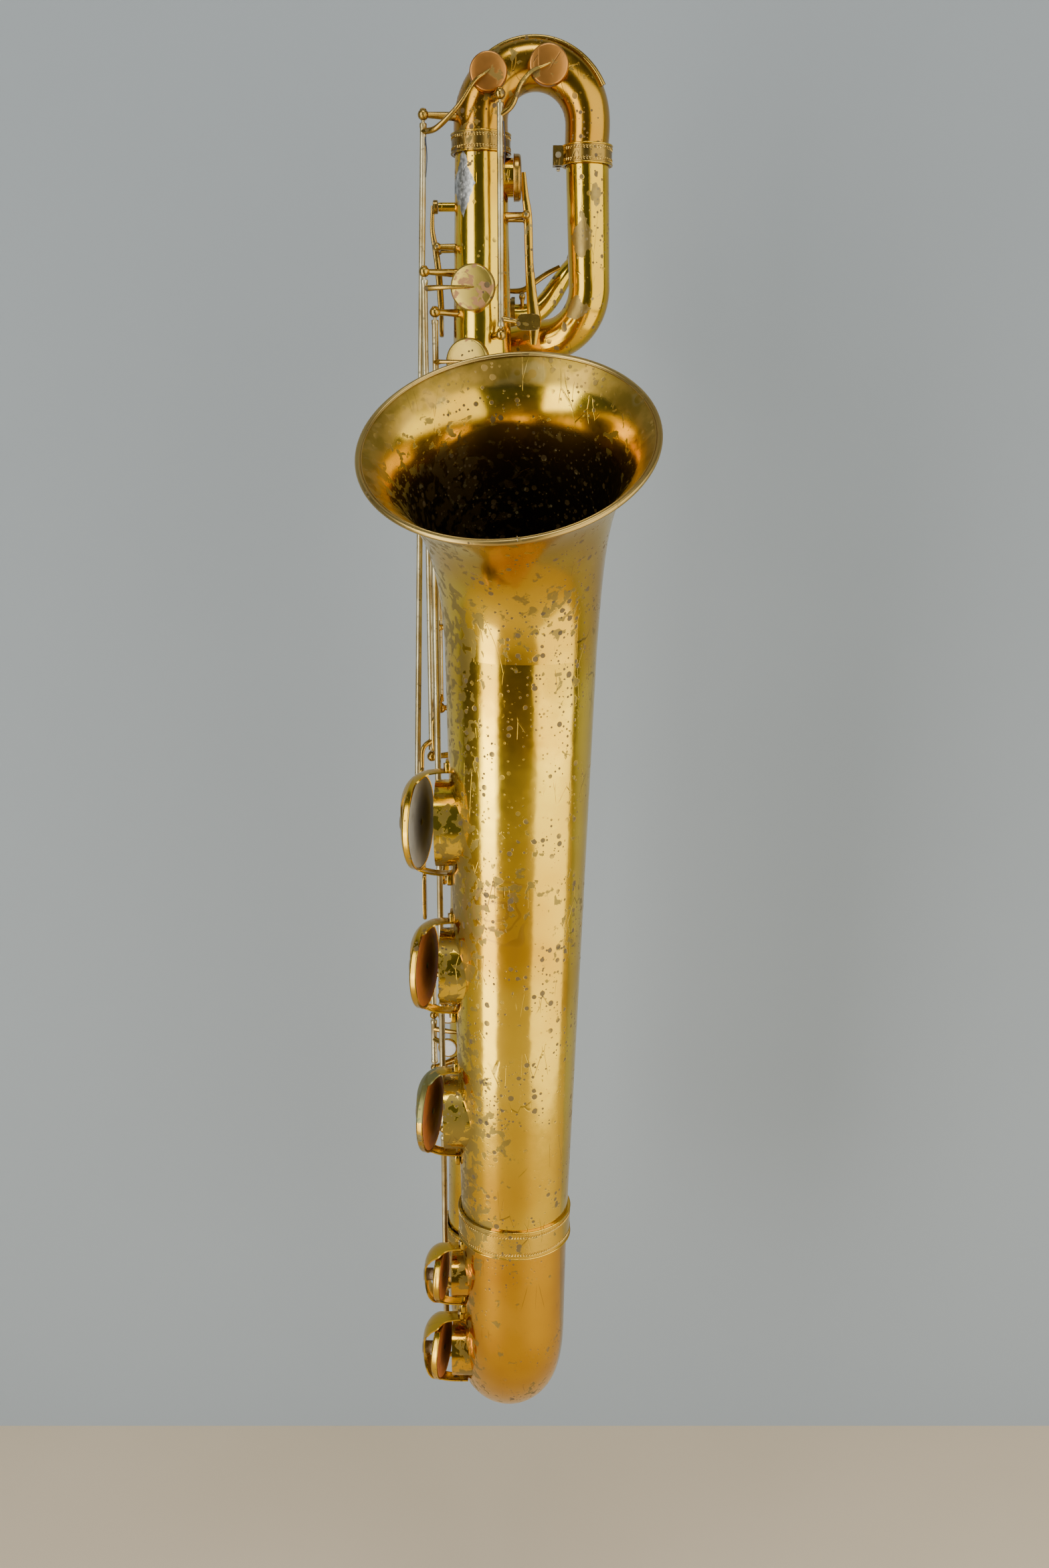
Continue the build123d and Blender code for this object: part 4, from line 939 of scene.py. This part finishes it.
def guard_mesh(key):
    """A crowned sheet strap that bows over the cup from foot to foot."""
    reach, half = GUARD_REACH[key.name], guard_half(key)
    wall, middle = skin(key), key.axis_point
    root = wall + 3.0
    deep = reach + root
    steps, lanes, power = 72, 14, 0.62
    thick = 1.5
    sections = []
    for i in range(steps + 1):
        share = i / steps
        turn = pi / 2 - pi * share
        x = root - deep * abs(cos(turn)) ** power
        z = half * (abs(sin(turn)) ** power) * (1 if turn > 0 else -1)
        sections.append((x, middle.z + z, share))
    vertices = []
    for i, (x, z, share) in enumerate(sections):
        before, after = sections[max(i - 1, 0)], sections[min(i + 1, steps)]
        along = Vector((after[0] - before[0], 0, after[1] - before[1])).normalized()
        normal = Vector((along.z, 0, -along.x))
        if normal.dot(Vector((x - root + 20, 0, z - middle.z))) < 0:
            normal = -normal
        wide = strap_width(share) * min(1.0, half / 36 + 0.1)
        outer, inner = [], []
        for lane in range(lanes + 1):
            v = lane / lanes * 2 - 1
            drop = (v * wide) ** 2 / 62
            edge = 0.5 * thick * (1 - 0.5 * abs(v) ** 8)
            point = Vector((x, middle.y + v * wide, z)) - normal * drop
            outer.append(point)
            inner.append(point - normal * (edge + 0.5 * thick))
        vertices += outer + inner[::-1]
    ring = 2 * (lanes + 1)
    faces = grid_faces(steps + 1, ring)
    for lane in range(lanes):
        cap = (lane, lane + 1, ring - 2 - lane, ring - 1 - lane)
        faces.append(tuple(reversed(cap)))
        faces.append(tuple(steps * ring + i for i in cap))
    return vertices, faces


def build_guards():
    """Each guard is its strap with a small foot plate under the screw at either end."""
    for key in BELL_KEYS:
        name = key.name.replace("_key", "")
        signs = (1,) if key.name == "low_c_key" else (-1, 1)
        rise = guard_half(key) + FOOT_TALL / 2 - GUARD_THICK
        parts = [guard_mesh(key)]
        for sign in signs:
            foot = (skin(key) - 1.4, key.axis_point.y, key.axis_point.z + sign * rise)
            parts.append(rounded_plate(foot, (3.4, FOOT_WIDE + 2, FOOT_TALL + 1), 0.8))
        guard = joined(f"{name}_guard", parts, GUARD)
        if key is BELL_KEYS[0]:
            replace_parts(guard, "key_guards")
        boss = Vector((-GUARD_REACH[key.name] + 0.6, key.axis_point.y, key.axis_point.z))
        outline = [(0, -1.0), (5.6, -1.0), (5.6, 0.2), (4.8, 0.9), (3.0, 1.1), (2.6, 0.7), (0, 0.7)]
        lathe(f"{name}_bumper_boss", outline, boss, LEFT, SCREW, sides=48)


# ------------------------------------------------------------------ small parts on the tubes


def screw_head(name, centre, direction, radius):
    """A domed screw head with a slot across it, drawn as a dark blued bar standing out of the head: painted
    shade of the slot's cut.
    """
    centre, direction = Vector(centre), Vector(direction)
    first, second = across(direction)
    outline = [(0, -0.6), (radius, -0.6)] + arc((radius - 0.8, 0.2), 0.8, 0, 75, 4) + [(0, 1.15)]
    slot = rounded_plate((0, 0, 0), (radius * 1.7, 0.55, 0.8), 0.0)
    slot = ([centre + first * v.x + second * v.y + direction * (v.z + 1.0) for v in slot[0]], slot[1])
    lathe(name, outline, centre, direction, SCREW, sides=32)
    # Painted shade: a dark bar in place of the slot's cut.
    joined(f"{name}_slot", [slot], SPRING)


def needle_spring(name, start, end, bow):
    """A blued wire that thins to its tip, bent by bow at its middle."""
    start, end = Vector(start), Vector(end)
    middle = start.lerp(end, 0.5) + Vector(bow)
    wire(name, (start, middle, end), 0.5, 0.28, SPRING)


def build_post_balls():
    """A turned ball with a collar over each plain post, just past the hinge tube's ends."""
    step, radius = 5.6, 4.1
    outline = [(0, -radius)] + arc((0, 0), radius, -75, 55, 12)
    outline += [(radius * 0.62, radius * 0.9), (radius * 0.45, radius * 1.05), (0, radius * 1.1)]
    for key in SIDE_KEYS + [HIGH_E, HIGH_F]:
        for end, height in (("low", key.tube[0] - step), ("high", key.tube[1] + step)):
            name = key.name.replace("_key", f"_ball_{end}")
            lathe(name, outline, key.hinge_at(height), UP, KEYWORK, sides=40)


def build_fittings():
    engraved_ring("body_ferrule", (0, 0, 1023), UP, CROWN_START + 1.9, 6.6, (-3.9, 3.9))
    engraved_ring("loop_ferrule", (LOOP_X, 0, 1015), UP, CROWN_END + 1.9, 6.6, (-3.9, 3.9))
    engraved_ring("bell_bow_ring", (BELL_FOOT.x, BELL_FOOT.y, BOW_TOP + 1), UP, BELL_JOINT_RADIUS + 2.4, 11.4,
                  (-7.6, 7.6))
    engraved_ring("body_bow_ring", (0, 0, 110), UP, 39.4, 7.6, (-4.6, 4.6))
    needle_spring("high_e_spring", (-41.0, -14.0, 1026), (-41.0, -15.2, 998), (1.0, -0.6, 0))
    needle_spring("high_f_spring", (17.6, -33.5, 1033), (18.0, -34.6, 1000), (0.8, -0.4, 0))
    for index, height in enumerate((1005.0, 1015.0)):
        screw_head(f"lyre_screw_{index}", (58.3, -5.0, height), FRONT, 1.5)


def build_bell_details():
    """A seam across the rolled rim at its lowest point, and a wire bead where the rim is rolled."""
    low = (FRONT - RIM_NORMAL * FRONT.dot(RIM_NORMAL)).normalized()
    start = RIM_CENTRE + low * (RIM_RADIUS - 3) + RIM_NORMAL * 1.2
    end = RIM_CENTRE + low * (RIM_RADIUS + 1.6) + RIM_NORMAL * 1.2
    middle = start.lerp(end, 0.5) + RIM_NORMAL * 0.85
    wire("rim_seam", (start, middle, end), 0.35, 0.35, SCREW)
    wire_radius, centre = 0.5, RIM_CENTRE + RIM_NORMAL * 0.6
    bead("rim_inner_bead", centre, RIM_NORMAL, RIM_RADIUS - 2.2, wire_radius, RIM, 220)


# ------------------------------------------------------------------ build


dress_cad_nodes()
for key in ALL_KEYS:
    build_key(key)
build_palm_key()
build_octave_keys()
build_post_balls()
build_guards()
build_fittings()
build_bell_details()


# ------------------------------------------------------------------ camera, floor, light

CAMERA_PLACE, CAMERA_TILT = Vector((0.032875, -1.176622, 0.18989)), radians(76)
SENSOR, FOCAL = 36.0, 36.0 * 0.88988


def set_camera():
    data = bpy.data.cameras.new("camera")
    data.sensor_fit, data.sensor_height, data.sensor_width = "VERTICAL", SENSOR, SENSOR
    data.lens = FOCAL
    data.clip_start, data.clip_end = 0.01, 50.0
    camera = bpy.data.objects.new("camera", data)
    camera.location = CAMERA_PLACE
    camera.rotation_euler = (CAMERA_TILT, 0, 0)
    bpy.context.scene.collection.objects.link(camera)
    bpy.context.scene.camera = camera


def matt(name, first, second, scale):
    s = Surface(name)
    tone = s.mix(s.noise(scale, 6.0), first, second)
    s.bump(s.noise(scale * 60, 4.0), 0.08, 0.0008)
    rough = s.math("MULTIPLY_ADD", s.noise(scale * 8), 0.15)
    rough.node.inputs[2].default_value = 0.7
    return s.finish(tone, rough)


WALL_Y, FLOOR_Z = 0.24, -0.945


def sheet_of(name, corners, material):
    mesh = bpy.data.meshes.new(name)
    mesh.from_pydata([Vector(c) for c in corners], [], [(0, 1, 2, 3)])
    made = bpy.data.objects.new(name, mesh)
    made.data.materials.append(material)
    bpy.context.scene.collection.objects.link(made)


def set_stage():
    wide, tall, front = 4.0, 3.0, -4.0
    corner = [(-wide, WALL_Y, FLOOR_Z), (wide, WALL_Y, FLOOR_Z)]
    floor = [(-wide, front, FLOOR_Z), (wide, front, FLOOR_Z)] + corner[::-1]
    sheet_of("floor", floor, matt("pale_floor", (0.60, 0.49, 0.34), (0.66, 0.55, 0.40), 3.0))
    wall = corner + [(wide, WALL_Y, tall), (-wide, WALL_Y, tall)]
    sheet_of("backdrop", wall, matt("grey_backdrop", (0.27, 0.305, 0.33), (0.29, 0.325, 0.35), 2.0))


def softbox(name, centre, target, size, power, colour):
    data = bpy.data.lights.new(name, "AREA")
    data.shape, data.size, data.size_y = "RECTANGLE", size[0], size[1]
    data.energy, data.color = power, colour
    lamp = bpy.data.objects.new(name, data)
    lamp.location = centre
    lamp.rotation_euler = (Vector(target) - Vector(centre)).to_track_quat("-Z", "Y").to_euler()
    bpy.context.scene.collection.objects.link(lamp)


def set_light():
    """Soft light from both sides and above. The low part of the tubes mirrors what stands near the
    floor, so the light of either side goes on down there."""
    world = bpy.data.worlds.new("studio")
    world.use_nodes = True
    sky = world.node_tree.nodes["Background"].inputs
    sky["Color"].default_value, sky["Strength"].default_value = (0.46, 0.54, 0.62, 1), 0.16
    bpy.context.scene.world = world
    warm, warmer, cool = (1.0, 0.98, 0.93), (1.0, 0.97, 0.90), (0.96, 0.98, 1.0)
    middle, low = (0, 0, -0.05), (0, -0.1, -0.45)
    softbox("left_window", (-1.45, -1.5, 0.35), middle, (1.0, 2.5), 37, warm)
    softbox("broad_right", (1.70, -1.35, 0.40), middle, (3.0, 2.6), 56, warmer)
    softbox("low_left", (-0.79, -0.81, -0.60), low, (0.50, 0.62), 4.4, warm)
    softbox("low_right", (0.86, -0.68, -0.60), low, (1.2, 0.62), 4.2, warmer)
    softbox("high_front", (0.1, -1.1, 2.3), (0, 0, 0.2), (1.2, 0.6), 18, cool)


set_camera()
set_stage()
set_light()
